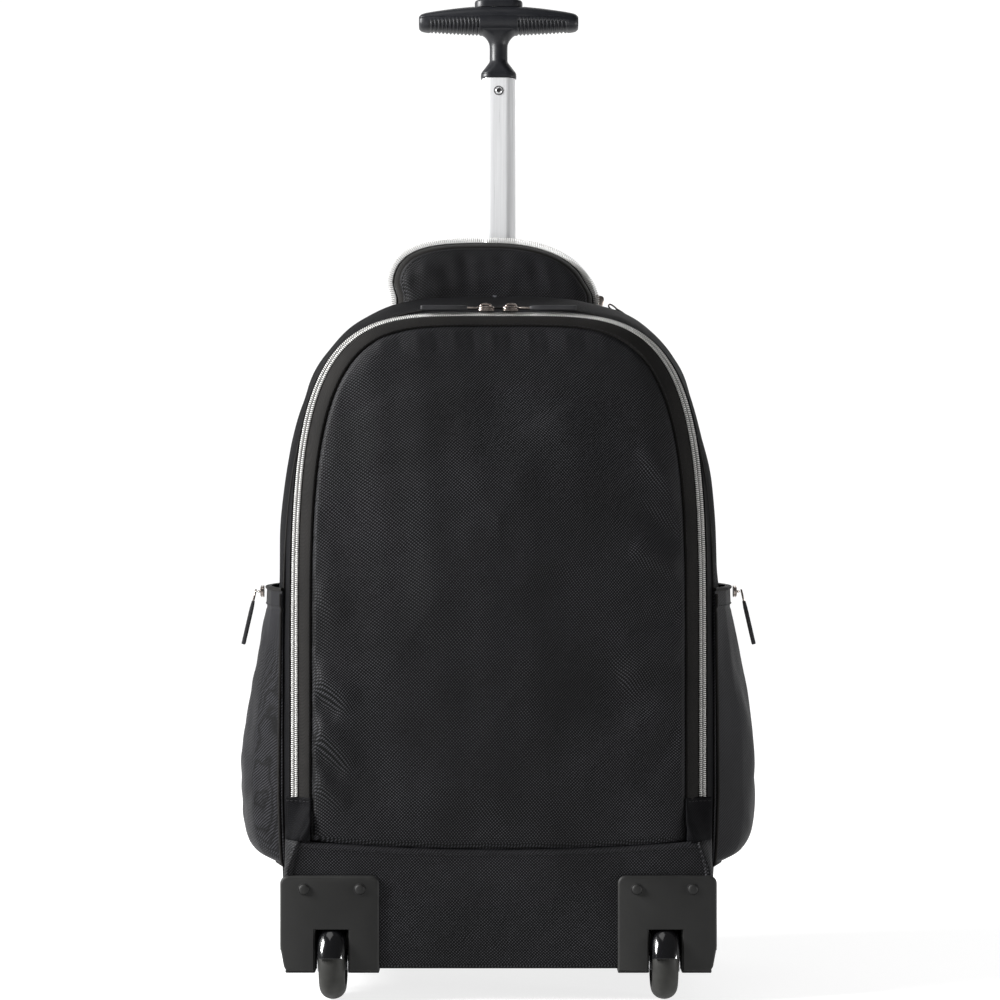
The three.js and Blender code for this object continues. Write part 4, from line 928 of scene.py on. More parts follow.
def body_ring(y, half, crest, base, bottom):
    arch = {"half": half, "top": crest, "power": BODY_POWER, "shoulder": SHOULDER_Z, "foot": ZIP_FOOT}
    upper = arch_points(arch, ARCH_U)
    upper[:, 1] = y
    return np.vstack([upper, lower_ring(half, base, bottom, y)])


def rim_ring():
    centre, across, _ = zip_frame(ARCH_U)
    upper = centre - across * 4.0
    return np.vstack([upper, lower_ring(upper[-1][0], 148.0, BODY_BOTTOM, RIM_Y)])


def body_rings(count=72):
    rings = np.array([body_ring(*station) for station in BODY_STATIONS] + [rim_ring()])
    return spline(rings.reshape(len(rings), -1), count).reshape(count, -1, 3)


def back_rings(count=24):
    """Rings of the flat back panel, from the line that it closes on out to its edge."""
    edge = body_ring(*BODY_STATIONS[0])
    line = np.column_stack([np.zeros(len(edge)), edge[:, 1], np.clip(edge[:, 2], 180, 340)])
    return np.array([mix(line, edge, part) for part in np.linspace(0.001, 1, count, endpoint=False)])


def shell_piece():
    back = back_rings()
    grid = np.vstack([back, body_rings()])
    y, z = grid[..., 1], grid[..., 2]
    wide = np.abs(grid[..., 0])
    calm = smooth(-y, -78, -60) * smooth(y, -80, -58) * smooth(z, 40, 70)
    out = unit(np.stack([grid[..., 0], np.zeros_like(y), z - 260], axis=-1))
    relief = 1.3 * soft_noise(grid, 110, 41) + 0.6 * soft_noise(grid, 40, 42)
    relief += 1.2 * folds(grid, [((-60, 250), (40, 330), 14, 1.5), ((-40, 430), (60, 380), 16, -1.6),
                                 ((-55, 400), (20, 470), 12, 1.3)], plane=(1, 2)) * smooth(wide, 100, 140)
    grid = grid + out * (relief * calm)[..., None]
    rows = len(grid)
    materials = np.full(rows - 1, 0)
    materials[: len(back)] = 1
    shell = grid_piece("bag_shell", grid, [GUSSET, TWILL, LINING], row_material=materials, closed=True,
                       sharp=80)
    solid = thicken(shell, SHELL_WALL).modifiers[0]
    solid.material_offset = 2
    solid.material_offset_rim = 0
    baked(shell, 80)
    wells = wheel_cuts(0, -44)
    cut_boxes(shell, [*wells, CUP_CUT])
    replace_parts(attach(shell, "bag"), "body_shell")


def ring_at(y):
    rings = body_rings(241)
    return rings[np.argmin(np.abs(rings[:, 40, 1] - y))]


def above_wheels(ring):
    """The part of a ring round the bag that stays above the wheels, as an open path."""
    arch = len(ARCH_U)
    lower = ring[arch:]
    side = int(np.sum((lower[:, 0] > 0) & (lower[:, 2] > 92)))
    return np.vstack([lower[-side:], ring[:arch], lower[:side]])


def body_piping():
    """Corded piping on the gusset's back seam, a flat seam behind the front zip, and their stitches."""
    for name, y, radius, lift in (("back", 80.0, 1.7, 0.6), ("front", -68.0, 0.9, 0.2)):
        ring = ring_at(y)
        if name == "front":
            ring = above_wheels(ring)
        out = unit((ring - np.array([0, y, 260.0])) * np.array([1, 0, 1]))
        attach(tube_piece("piping_" + name, ring + out * lift, radius, TAPE, 10, closed=name == "back"),
                "bag")
        lines = above_wheels(ring_at(y - math.copysign(5.0, y)))
        out = unit((lines - np.array([0, y, 260.0])) * np.array([1, 0, 1]))
        stitches("piping_stitches_" + name, lines + out * 0.35, out, THREAD, "bag")


# ---- Handle garage -------------------------------------------------------------------------------

GARAGE_LEFT_POWER = 3.4
GARAGE_ROWS = [(0, 45), (0.5, 34), (3, 26), (9, 21.5), (22, 19.2), (45, 18.3), (74.5, 18)]
GARAGE_BACK_ROWS = [(0, 85.2), (1, 88.5), (5, 91.5), (16, 93), (40, 93.5), (76, 93.8)]


def garage_points(arch, by, u, y, leaning, crest=BODY_TOP):
    """A row of the garage at an inset, whose feet follow the bag's top."""
    half = arch["half"] - by
    x_foot = np.sign(u) * half + (-2.6 if leaning else 0)
    foot = np.minimum(body_top_at(x_foot, crest) + 0.8, arch["shoulder"] - 0.05)
    points = arch_points(arch, u, by, foot)
    if leaning:
        square = arch_points({**arch, "power": GARAGE_LEFT_POWER}, u, by, foot)
        points = np.where((u < 0)[..., None], square, points)
    points[..., 1] = y
    if leaning:
        points[..., 0] += -2.6 - 3.6 * smooth(points[..., 2], arch["shoulder"], arch["shoulder"] + 16)
    return points


def garage_dome(name, arch, rows, node, body, leaning, crest, seam_inset):
    u = np.linspace(-1, 1, 181)
    path = spline(np.array(rows, float), 64)
    grid = np.stack([garage_points(arch, by, u, y, leaning, crest) for by, y in path])
    facing = -1.0 if leaning else 1.0
    into = path[:, 0][:, None]
    groove = 0.9 * np.exp(-(((into - seam_inset) / 0.8) ** 2))
    height = grid[..., 2] - grid[:, :1, 2]
    calm = smooth(into, seam_inset + 1, seam_inset + 10) * smooth(height, 0, 8)
    relief = calm * (0.8 * soft_noise(grid, 48, 51) + 0.4 * soft_noise(grid, 18, 52)) - groove
    if leaning:
        relief += calm * folds(grid, [((52, 536), (66, 512), 4, -0.9), ((40, 540), (58, 524), 5, 0.8),
                                      ((-60, 530), (-30, 508), 7, 0.7), ((-20, 500), (50, 503), 4, -0.8)])
    grid[..., 1] += facing * relief
    bound = (path[:-1, 0] < seam_inset).astype(int)
    dome = grid_piece(name, grid, [TWILL, TAPE, LINING], row_material=bound, sharp=80)
    solid = thicken(dome, 2.2).modifiers[0]
    solid.material_offset = 2
    baked(dome, 80)
    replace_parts(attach(dome, body), node)
    row = np.argmin(np.abs(path[:, 0] - seam_inset - 1.6))
    line = grid[row] + np.array([0, facing * 0.3, 0])
    stitches(name + "_stitches", line, (0, facing, 0), THREAD, body, pitch=2.8, length=2.0)


def garage_zip(name, arch, y, node, body, leaning, crest, facing):
    u = np.linspace(-1, 1, 420)
    rim = garage_points(arch, -0.3, u, y, leaning, crest)
    out = arch_outward({**arch, "foot": 470.0}, u)
    ahead = np.broadcast_to(np.array([0, facing, 0.0]), out.shape)
    tape_strip("tape_" + name, rim + out * 0.1, out, ahead, -0.4, 1.3, node, body, 0.3, 0.8)
    coil_row("coil_" + name, rim + out * 0.6, out, ahead, 1, body, reach=4.6, gap=0)


def handle_garage():
    garage_dome("garage_cover_fabric", GARAGE_ARCH, GARAGE_ROWS, "garage_cover", "garage_flap", True,
                BODY_TOP, 4.6)
    garage_dome("garage_back_fabric", GARAGE_BACK_ARCH, GARAGE_BACK_ROWS, "garage_back", "bag", False, 500.5,
                5.0)
    garage_zip("garage_front_half", GARAGE_ARCH, 43.5, "garage_zip_front_half", "garage_flap", True, BODY_TOP,
               -1)
    inner = {**GARAGE_BACK_ARCH, "half": 72.6, "top": 544.6}
    garage_zip("garage_back_half", inner, 84.0, "garage_zip_back_half", "bag", False, 502.5, 1)


# ---- Sliders and pulls ---------------------------------------------------------------------------


def placed(local, origin, axes):
    """Points given along three axes, as places in the drawing frame."""
    return np.asarray(origin, float) + np.asarray(local, float) @ np.asarray(axes, float)


def axes_of(along, up):
    along, up = unit(np.asarray(along, float)), np.asarray(up, float)
    side = unit(np.cross(up, along))
    return np.array([along, side, np.cross(along, side)])


def lofted(name, sections, material, **options):
    """A solid through closed sections of equally many points."""
    grid = np.asarray(sections, float)
    caps = [np.broadcast_to(grid[k].mean(axis=0), grid[k].shape) for k in (0, -1)]
    grid = np.vstack([caps[0][None], grid, caps[1][None]])
    return mesh_piece(name, grid, grid_faces(*grid.shape[:2], close_columns=True), material, **options)


def slider_outline(length, width, count=40):
    """A slider seen from above: broad at its nose, narrower at its tail."""
    angle = np.linspace(0, 2 * math.pi, count, endpoint=False)
    x = signed_power(np.cos(angle), 0.55) * length / 2
    taper = 1 - 0.24 * smooth(-x, -length * 0.1, length / 2)
    return np.column_stack([x, signed_power(np.sin(angle), 0.6) * width / 2 * taper])


def zip_slider(name, origin, along, up, size, body, node, nose=1):
    """A metal slider: two plates with the coil's slot between them, and a bridge."""
    length, width, height = size
    axes = axes_of(np.asarray(along, float) * nose, up)
    plan = slider_outline(length, width)
    levels = [(0.0, 0.9), (0.25, 1.0), (1.0, 1.0), (1.15, 0.84), (1.75, 0.84), (1.9, 1.0), (2.6, 0.99),
              (2.95, 0.9),
              (3.1, 0.7)]
    scale = (height - 2.0) / 3.1
    sections = [np.column_stack([plan * share, np.full(len(plan), z * scale)]) for z, share in levels]
    plates = lofted("plates", [placed(s, origin, axes) for s in sections], GUNMETAL, sharp=50)
    arc = np.linspace(0, math.pi, 20)
    top = (height - 2.0) + 0.1
    bridge = np.column_stack([-0.3 + length * 0.3 * np.cos(arc), np.zeros(20),
                              top + 1.55 * np.sin(arc) ** 0.7])
    loop = tube_piece("bridge", placed(bridge, origin, axes), 0.8, GUNMETAL, 10, up=axes[1])
    slider = joined(name, [plates, loop])
    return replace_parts(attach(slider, body), node)


def pull_tab(name, pivot, along, up, length, link_length, width, thick, body, node):
    """A rubber tab on a wire link, drawn from its pivot."""
    axes = axes_of(along, up)
    angle = np.linspace(0, 2 * math.pi, 33)
    ring_half = link_length / 2 + 1.3
    ring = np.column_stack([ring_half - 1.2 + ring_half * signed_power(np.cos(angle), 0.8),
                            width * 0.3 * signed_power(np.sin(angle), 0.8), 0 * angle])
    wire = tube_piece("link", placed(ring[:-1], pivot, axes), 0.62, GUNMETAL, 10, closed=True, up=axes[2])
    stations = [(0, 0.55), (0.6, 0.74), (2.6, 0.84), (5.0, 0.95), (9.0, 1.0)]
    stations += [(x, 1.0) for x in np.linspace(12, length - link_length - 1.6, 8)]
    stations += [(length - link_length - 0.6, 0.96), (length - link_length, 0.82)]
    around = np.linspace(0, 2 * math.pi, 40, endpoint=False)
    sections = []
    for x, share in stations:
        dish = 1 - 0.2 * smooth(x, 5, 9) * (1 - smooth(x, length - link_length - 6, length - link_length - 3))
        across = signed_power(np.cos(around), 0.35) * width / 2 * share
        dished = mix(dish, 1.0, smooth(np.abs(across), width * 0.32, width * 0.42))
        over = signed_power(np.sin(around), 0.35) * thick / 2 * share * dished
        sections.append(placed(np.column_stack([np.full(40, link_length + x), across, over]), pivot, axes))
    tab = lofted("tab", sections, PULL, sharp=50)
    pull = joined(name, [tab, wire])
    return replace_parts(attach(pull, body), node)


def all_sliders():
    for side, name in SIDES:
        zip_slider("front_slider_metal_" + name, (side * 8.6, -85.5, 486.2), (side, 0, 0), (0, 0, 1),
                   (11.4, 9.0, 5.4), "front_slider_" + name, "front_slider_" + name, nose=-1)
        pull_tab("front_pull_rubber_" + name, (side * 15.9, -85.5, 488.6), (side, 0, 0), (0, 0, 1), 39, 6, 8,
                 3.6,
                 "front_pull_" + name, "front_pull_" + name)
        low, high = cad_box("pocket_slider_" + name)
        centre = (low + high) / 2 - SHIFT
        zip_slider("pocket_slider_metal_" + name, (side * 173.2, centre[1], centre[2]), (0, 1, 0),
                   (side, 0, 0),
                   (11.0, 9.0, 4.6), "pocket_slider_" + name, "pocket_slider_" + name)
        tilt = math.radians(13)
        down = (side * math.sin(tilt), 0, -math.cos(tilt))
        pull_tab("pocket_pull_rubber_" + name, (side * 179.6, -5.0, 285.5), down, (side, 0, 0.23), 40, 7, 5.5,
                 3.0,
                 "pocket_pull_" + name, "pocket_pull_" + name)
    low, high = cad_box("garage_slider")
    centre = (low + high) / 2 - SHIFT
    zip_slider("garage_slider_metal", (centre[0], 52.0, centre[2]), (0.1, 0, 1), (0, -1, 0), (10.0, 9.0, 5.0),
               "garage_slider", "garage_slider")
    lean = math.radians(38)
    pull_tab("garage_pull_rubber", (85, 52, 501), (math.cos(lean), 0, -math.sin(lean)), (0, -1, 0), 18, 5, 5,
             2.4,
             "garage_pull", "garage_pull")


# ---- Side pockets --------------------------------------------------------------------------------

POCKET_FRONT, POCKET_BACK = -70.0, 60.0
POCKET_ROWS = [(92, 0), (94.5, 12), (99, 20), (112, 25.5), (140, 27), (169, 25.5), (198, 22), (228, 17),
               (258, 11.5),
               (275, 8.6), (289, 8)]
POCKET_BAND_Z = 275.0


def body_side_at(y, z):
    """The bag's half width at a depth and a height."""
    stations = [(s[0], s[1], s[3]) for s in BODY_STATIONS] + [(RIM_Y, 148.1, 148.1)]
    depths = np.array([s[0] for s in stations])[::-1]
    half = np.interp(y, depths, np.array([s[1] for s in stations])[::-1])
    base = np.interp(y, depths, np.array([s[2] for s in stations])[::-1])
    up = np.clip((z - SHOULDER_Z) / (BODY_TOP - SHOULDER_Z), 0, 1)
    low = BODY_BOTTOM + BOTTOM_CORNER
    curved = half * (1 - up**BODY_POWER) ** (1 / BODY_POWER)
    return np.where(z > SHOULDER_Z, curved, mix(base, half, np.clip((z - low) / (ZIP_FOOT - low), 0, 1)))


def pocket_grid(side, rows=96, columns=90):
    path = spline(np.array(POCKET_ROWS, float), rows)
    v = np.linspace(-1, 1, columns)[None]
    z, bulge = path[:, 0][:, None] + 0 * v, path[:, 1][:, None]
    y = (POCKET_FRONT + POCKET_BACK) / 2 + v * (POCKET_BACK - POCKET_FRONT) / 2 + 0 * z
    out = bulge * (1 - np.abs(v) ** mix(2.0, 2.8, smooth(bulge, 8, 27)))
    x = body_side_at(y, z) + 1.6 + out
    return np.stack([side * x, y, z], axis=-1)


POCKET_FOLDS = {
    -1: [((-40, 262), (-20, 196), 8, 1.5), ((-14, 258), (-2, 204), 6, -1.2), ((10, 256), (4, 190), 8, 1.3),
         ((-52, 226), (-30, 170), 9, -1.2), ((-30, 178), (14, 140), 12, 1.7), ((34, 236), (20, 168), 9, 1.1),
         ((-56, 150), (-20, 116), 8, -1.3), ((8, 132), (44, 108), 8, -1.2)],
    1: [((-44, 258), (-26, 200), 8, -1.3), ((-18, 262), (-8, 188), 7, 1.5), ((14, 258), (2, 200), 7, -1.2),
        ((-50, 214), (-18, 150), 10, 1.4), ((-22, 160), (26, 126), 11, -1.4), ((36, 232), (26, 176), 9, 1.3),
        ((-54, 136), (-26, 108), 8, 1.2)],
}


def pocket_piece(side, name):
    grid = pocket_grid(side)
    z = grid[..., 2]
    edge = 1 - np.abs((grid[..., 1] - (POCKET_FRONT + POCKET_BACK) / 2) / ((POCKET_BACK - POCKET_FRONT) / 2))
    calm = smooth(edge, 0.02, 0.22) * smooth(z, 95, 112) * (1 - smooth(z, 262, 276))
    relief = folds(grid, POCKET_FOLDS[side], plane=(1, 2)) + 1.0 * soft_noise(grid, 52, 61 + side)
    relief += 0.4 * soft_noise(grid, 19, 65 + side)
    seam = -1.0 * np.exp(-(((z - POCKET_BAND_Z) / 0.9) ** 2))
    band = 0.5 * smooth(z, POCKET_BAND_Z, POCKET_BAND_Z + 2)
    grid[..., 0] += side * (0.6 * relief * calm + seam + band)
    grid[..., 2] += 0.7 * soft_noise(grid, 60, 67) * calm
    pocket = grid_piece("pocket_fabric_" + name, grid, [POCKET, LINING], sharp=80)
    thicken(pocket, 1.8, lining=True)
    baked(pocket, 80)
    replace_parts(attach(pocket, "bag"), "pocket_" + name)
    row = np.argmin(np.abs(z[:, 0] - POCKET_BAND_Z - 2.4))
    stitches("pocket_band_stitches_" + name, grid[row] + [side * 0.3, 0, 0], (side, 0, 0), THREAD, "bag")
    for column, end in ((1, "front"), (-2, "back")):
        path = grid[4:-2, column] + np.array([side * 0.4, 0, 0])
        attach(tube_piece(f"pocket_binding_{name}_{end}", path, 1.25, TAPE, 10, flat=1.0, up=(0, 1, 0)),
                "bag")
    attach(tube_piece("pocket_hem_" + name, grid[3] + [side * 0.2, 0, 0], 1.2, TAPE, 10, up=(0, 0, 1)),
            "bag")
    pocket_zip(side, name, grid)


def pocket_zip(side, name, grid):
    """The pocket's mouth: a bound lip and a coil along its top."""
    lip = grid[-1].copy()
    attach(tube_piece("pocket_lip_" + name, lip + [0, 0, 0.1], 1.3, TAPE, 10, up=(0, 0, 1)), "bag")
    inside = lip - np.array([side * 1.0, 0, 0])
    across = np.broadcast_to(np.array([-side, 0.0, 0.0]), inside.shape)
    face = np.broadcast_to(np.array([0.0, 0.0, 1.0]), inside.shape)
    row = slice(4, -4)
    coil_row("pocket_coil_" + name, inside[row] + [0, 0, 0.5], across[row], face[row], 1, "bag", 2.6, 0,
             material=POCKET_COIL)


# ---- Telescoping handle --------------------------------------------------------------------------


def rounded_section(half_x, half_y, corner, count=72):
    """A rounded rectangle about the pole, as x and y from its centre."""
    quarter = count // 4
    arc = np.linspace(0, math.pi / 2, quarter)
    corner = min(corner, half_x - 0.01, half_y - 0.01)
    points = []
    for k, (sx, sy) in enumerate(((1, 1), (-1, 1), (-1, -1), (1, -1))):
        angle = arc + k * math.pi / 2
        points.append(np.column_stack([sx * (half_x - corner) + corner * np.cos(angle),
                                       sy * (half_y - corner) + corner * np.sin(angle)]))
    return np.vstack(points)


def pole_ring(section, z):
    return np.column_stack([section[:, 0], section[:, 1] + POLE_Y, np.full(len(section), z)])


def pole_tube(name, half_x, half_y, low, high, wall, material, body, node, corner=8.0):
    outer, inner = rounded_section(half_x, half_y, corner), rounded_section(half_x - wall, half_y - wall,
                                                                            corner - wall)
    soft = rounded_section(half_x - 0.3, half_y - 0.3, corner - 0.3)
    levels = np.linspace(low + 0.3, high - 0.3, 40)
    rings = [pole_ring(inner, low), pole_ring(soft, low)] + [pole_ring(outer, z) for z in levels]
    rings += [pole_ring(soft, high), pole_ring(inner, high)]
    grid = np.array(rings)
    faces = grid_faces(len(grid), len(outer), close_rows=True, close_columns=True)
    tube = mesh_piece(name, grid, faces, material, sharp=35)
    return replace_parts(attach(tube, body), node)


GRIP_MIDDLE_Z, GRIP_SPLIT_Z, GRIP_HALF = 721.0, 722.0, 61.0
GRIP_SECTIONS = [(0, 10.7, 15), (16, 10.6, 15), (34, 9.4, 13.6), (52, 7.6, 11.8), (58.5, 6.4, 10.6),
                 (61, 4.6, 8.4)]
RIB_PITCH = 2.87


def grip_grid():
    """The T-grip's surface, with finger ribs low on both arms and a fine parting line."""
    x = np.concatenate([np.linspace(-61, -52, 30)[:-1], np.linspace(-52, 52, 420),
                        np.linspace(52, 61, 30)[1:]])
    sizes = spline(np.array(GRIP_SECTIONS, float), 300)
    height = np.interp(np.abs(x), sizes[:, 0], sizes[:, 1])
    depth = np.interp(np.abs(x), sizes[:, 0], sizes[:, 2])
    angle = np.linspace(0, 2 * math.pi, 96, endpoint=False)
    up = signed_power(np.sin(angle), 0.8)
    across = signed_power(np.cos(angle), 0.8)
    arm = smooth(np.abs(x), 13.5, 15.5) * (1 - smooth(np.abs(x), 51, 54))
    ribs = 0.5 - 0.5 * np.cos((np.abs(x) - 14) * 2 * math.pi / RIB_PITCH)
    below = smooth(-up, 0.02, 0.2)
    depth_cut = 1.15 * (arm * ribs)[:, None] * below[None]
    drop = 1.7 * (np.abs(x) / GRIP_HALF) ** 2
    points = np.empty((len(x), len(angle), 3))
    points[..., 0] = x[:, None]
    points[..., 1] = POLE_Y + across[None] * (depth[:, None] - depth_cut)
    points[..., 2] = GRIP_MIDDLE_Z - drop[:, None] + up[None] * (height[:, None] - depth_cut)
    line = np.exp(-(((points[..., 2] - GRIP_SPLIT_Z) / 0.35) ** 2))
    points[..., 1] -= 0.35 * line * np.sign(across)[None]
    return points


def grip_half(name, above, node):
    grid = grip_grid()
    grip = lofted(name, grid, GRIP, sharp=70)
    bm = bmesh.new()
    bm.from_mesh(grip.data)
    split = GRIP_SPLIT_Z + (0.12 if above else -0.12)
    everything = bm.verts[:] + bm.edges[:] + bm.faces[:]
    cut = bmesh.ops.bisect_plane(bm, geom=everything, plane_co=(0, 0, split * MM), plane_no=(0, 0, 1),
                                 clear_outer=not above, clear_inner=above)
    edges = [e for e in cut["geom_cut"] if isinstance(e, bmesh.types.BMEdge)]
    bmesh.ops.contextual_create(bm, geom=edges)
    bm.to_mesh(grip.data)
    bm.free()
    smooth_faces(grip.data, 50)
    if above:
        cut_boxes(grip, [((-18.9, POLE_Y - 9.5, 726.5), (18.9, POLE_Y + 9.5, 745))])
        smooth_faces(grip.data, 50)
    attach(grip, "handle")
    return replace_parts(grip, node)


def grip_neck():
    """The waisted neck from the collar on the tube up to the grip."""
    profile = [(676.4, 13.2, 10.2, 8), (676.7, 13.6, 10.6, 8), (678.9, 13.6, 10.6, 8), (679.3, 13.3, 10.3, 8),
               (679.7, 13.5, 10.5, 8), (681.5, 12.6, 10.1, 8), (686.5, 9.0, 8.2, 7.9), (689.5, 7.1, 7.1, 7),
               (692.5, 6.9, 6.9, 6.85), (700, 6.9, 6.9, 6.85), (703.5, 7.4, 7.3, 7.2), (707, 9.3, 8.6, 8.2),
               (710, 12.4, 10.2, 9), (712.5, 17.5, 11.8, 9), (714, 22, 12.2, 9)]
    smooth_profile = spline(np.array(profile), 110)
    rings = [pole_ring(rounded_section(w, d, c), z) for z, w, d, c in smooth_profile]
    neck = lofted("grip_neck", rings, GRIP, sharp=50)
    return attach(neck, "handle")


def button_cap():
    levels = [(730.6, 0.6), (730.7, 0.1), (731.2, 0), (734.6, 0), (735.5, 0.25), (736.05, 0.8), (736.35, 1.7),
              (736.4, 2.6),
              (736.25, 4.2), (736.1, 6.5)]
    rings = [pole_ring(rounded_section(18.4 - by, 9 - by, 8.8 - by), z) for z, by in levels]
    cap = lofted("release_button", rings, GRIP, sharp=50)
    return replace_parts(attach(cap, "button"), "button")


def cross_screw():
    """A pan-head screw with a cross recess in the front of the tube, a painted shade ring round its head and
    a painted shade disc over its recess.
    """
    low, _ = cad_box("grip_screw")
    place = (0, low[1] - SHIFT[1] - 0.6, 666.0)
    profile = [(0, 0), (1.5, 0.05), (2.3, 0.35), (2.8, 0.9), (2.95, 1.4), (2.95, 1.8), (0, 1.8)]
    head = lathe_to("grip_screw_head", profile, place, (0, 1, 0), STEEL, 48)
    slots = [((-1.7, place[1] - 1, 665.6), (1.7, place[1] + 1.1, 666.4)),
             ((-0.4, place[1] - 1, 664.3), (0.4, place[1] + 1.1, 667.7))]
    cut_boxes(head, slots)
    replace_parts(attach(head, "handle"), "grip_screw")
    # Painted shade: this dark ring round the screw head stands in for the shadow in the gap around the head.
    ring = np.linspace(0, 2 * math.pi, 48, endpoint=False)
    path = np.column_stack([3.25 * np.cos(ring), np.full(48, POLE_Y - 10.02), 666 + 3.25 * np.sin(ring)])
    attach(tube_piece("grip_screw_shade_ring", path, 0.35, DARK, 8, closed=True), "handle")
    # Painted shade: this dark disc over the head's centre stands in for the shade inside the cross recess.
    hub = lathe_to("grip_screw_recess_shade", [(0, 0), (1.5, 0.0), (1.6, 0.3), (0, 0.3)],
                   place - np.array([0, 0.02, 0]),
                   (0, 1, 0), DARK, 40)
    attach(hub, "handle")


def button_spring():
    """The spring under the button, which the button squeezes; here it is drawn at one length only."""
    turns, radius, wire, low, high = 5, 5.0, 0.65, 713.2, 730.2
    angle = np.linspace(0, turns * 2 * math.pi, turns * 28)
    z = np.linspace(low + wire, high - wire, len(angle))
    path = np.column_stack([radius * np.cos(angle), POLE_Y + radius * np.sin(angle), z])
    coil = tube_piece("button_spring_wire", path, wire, STEEL, 8, up=(0, 0, 1))
    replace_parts(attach(coil, "handle"), "button_spring")
    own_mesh(coil)


def cup_bezel():
    """The moulded cup in the bag's top with a rounded flange."""
    low, high = cad_box("handle_cup")
    z0, z1 = low[2], high[2]

    def outline(by, z, corner):
        return pole_ring(rounded_section(42 - by, 19.3 - by, corner), z) - [0, 0.7, 0]

    def body_line(by, z):
        return pole_ring(rounded_section(36 - by, 17 - by, 3), z)

    rings = [body_line(0, z0), body_line(0, 503.4), outline(0.4, 503.4, 4), outline(0, 503.8, 4),
             outline(0, 504.8, 4),
             outline(0.4, 505.3, 4), outline(1.2, z1, 4), outline(6.5, z1, 3), body_line(1.5, 504.9),
             body_line(2.0, 503.5), body_line(2.2, z0 + 2.5)]
    tube_hole = pole_ring(rounded_section(15.4, 12.4, 8.3), z0 + 2.5)
    rings += [tube_hole, pole_ring(rounded_section(15.4, 12.4, 8.3), z0)]
    grid = np.array(rings)
    faces = grid_faces(len(grid), grid.shape[1], close_rows=True, close_columns=True)
    cup = mesh_piece("handle_cup_moulding", grid, faces, PLATE, sharp=40)
    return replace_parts(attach(cup, "bag"), "handle_cup")


def telescoping_handle():
    pole_tube("moving_tube", 13, 10, 240, 676, 1.2, TUBE, "handle", "inner_tube")
    pole_tube("fixed_tube", 15, 12, cad_box("outer_tube")[0][2], 479, 1.2, TUBE, "bag", "outer_tube")
    grip_half("grip_shell_lower", False, "grip_lower")
    grip_half("grip_shell_upper", True, "grip_upper")
    grip_neck()
    button_cap()
    button_spring()
    cross_screw()
    cup_bezel()


# ---- Wheels --------------------------------------------------------------------------------------

PLATE_IN, PLATE_OUT, PLATE_LOW, PLATE_HIGH = 83.6, 153.0, 23.3, 89.8
WINDOW_HALF, WINDOW_HIGH = 12.25, 52.0
CORNER = 5.5


def plate_outline(by, window_by):
    """The wheel plate's outline for the right side, with the window open at the bottom."""
    arc = np.linspace(0, math.pi / 2, 12)
    left, right = WHEEL["x"] - WINDOW_HALF - window_by, WHEEL["x"] + WINDOW_HALF + window_by
    high, low = PLATE_HIGH - by, PLATE_LOW + by * 0.4
    inner, outer, r = PLATE_IN + by, PLATE_OUT - by, CORNER
    points = [(inner, low), (left, low), (left, WINDOW_HIGH + window_by), (right, WINDOW_HIGH + window_by),
              (right, low), (outer - 4.2, low), (outer - 2.6, low + 3.0), (outer, low + 17)]
    points += [(outer - r + r * math.cos(a), high - r + r * math.sin(a)) for a in arc]
    points += [(inner + r - r * math.sin(a), high - r + r * math.cos(a)) for a in arc]
    return np.array(points)


def plate_piece(side, name):
    layers = [(-97.3, 0.0, 0.0), (-98.5, 0.0, 0.0), (-99.1, 0.2, 0.05), (-99.6, 0.7, 0.2),
              (-100.0, 1.6, 0.45)]
    rings = []
    for y, by, window_by in layers:
        outline = plate_outline(by, window_by)
        rings.append(np.column_stack([side * outline[:, 0], np.full(len(outline), y), outline[:, 1]]))
    grid = np.array(rings)
    count = grid.shape[1]
    faces = grid_faces(len(grid), count, close_columns=True)
    faces.append(tuple(range(count)))
    faces.append(tuple((len(grid) - 1) * count + k for k in reversed(range(count))))
    plate = mesh_piece("wheel_plate_" + name, grid, faces, PLATE, sharp=30)
    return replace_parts(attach(plate, "bag"), "wheel_housing_" + name)


def wheel_well(side, name):
    """The well behind the plate: cheeks, roof, back, sills and the flange round the bag's corner."""
    x = side * WHEEL["x"]
    pieces = []
    for s in (-1, 1):
        ends = sorted((x + s * 11.5, x + s * 13.5))
        pieces.append(box_piece("cheek", (ends[0], -97.6, 21.5), (ends[1], -46, 60), DARK, 0.5))
    pieces.append(box_piece("roof", (x - 13.5, -97.6, 58), (x + 13.5, -46, 60), DARK, 0.5))
    pieces.append(box_piece("back", (x - 13.5, -48, 21.5), (x + 13.5, -46, 60), DARK, 0.5))
    for a, b in ((WHEEL["x"] + 12.0, PLATE_OUT - 3.6), (PLATE_IN, WHEEL["x"] - 12.0)):
        ends = sorted((side * a, side * b))
        pieces.append(box_piece("sill", (ends[0], -98.4, 21.5), (ends[1], -46, 23.9), PLATE, 0.8))
    ends = sorted((side * (PLATE_OUT - 1.7), side * PLATE_OUT))
    pieces.append(box_piece("flange", (ends[0], -98.2, PLATE_LOW + 14), (ends[1], -86, PLATE_HIGH - 6), PLATE,
                            0.7))
    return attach(joined("wheel_well_" + name, pieces), "bag")


def mudguard_piece(side, name):
    """The glossy guard that follows the top of the wheel."""
    angle = np.radians(np.linspace(12, 88, 50))
    part = np.linspace(-1, 1, 33)
    drop = 7.0 * (1 - np.sqrt(1 - (0.98 * part) ** 2))
    grid = np.empty((len(angle), len(part), 3))
    radius = 31.5 - drop
    grid[..., 0] = side * WHEEL["x"] + part[None] * 9.6
    grid[..., 1] = WHEEL["y"] - radius[None] * np.cos(angle)[:, None]
    grid[..., 2] = WHEEL["z"] + radius[None] * np.sin(angle)[:, None]
    guard = grid_piece("mudguard_" + name, grid, GLOSS, sharp=60)
    thicken(guard, 1.4)
    round_edges(guard, 0.3, 2, 60)
    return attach(guard, "bag")


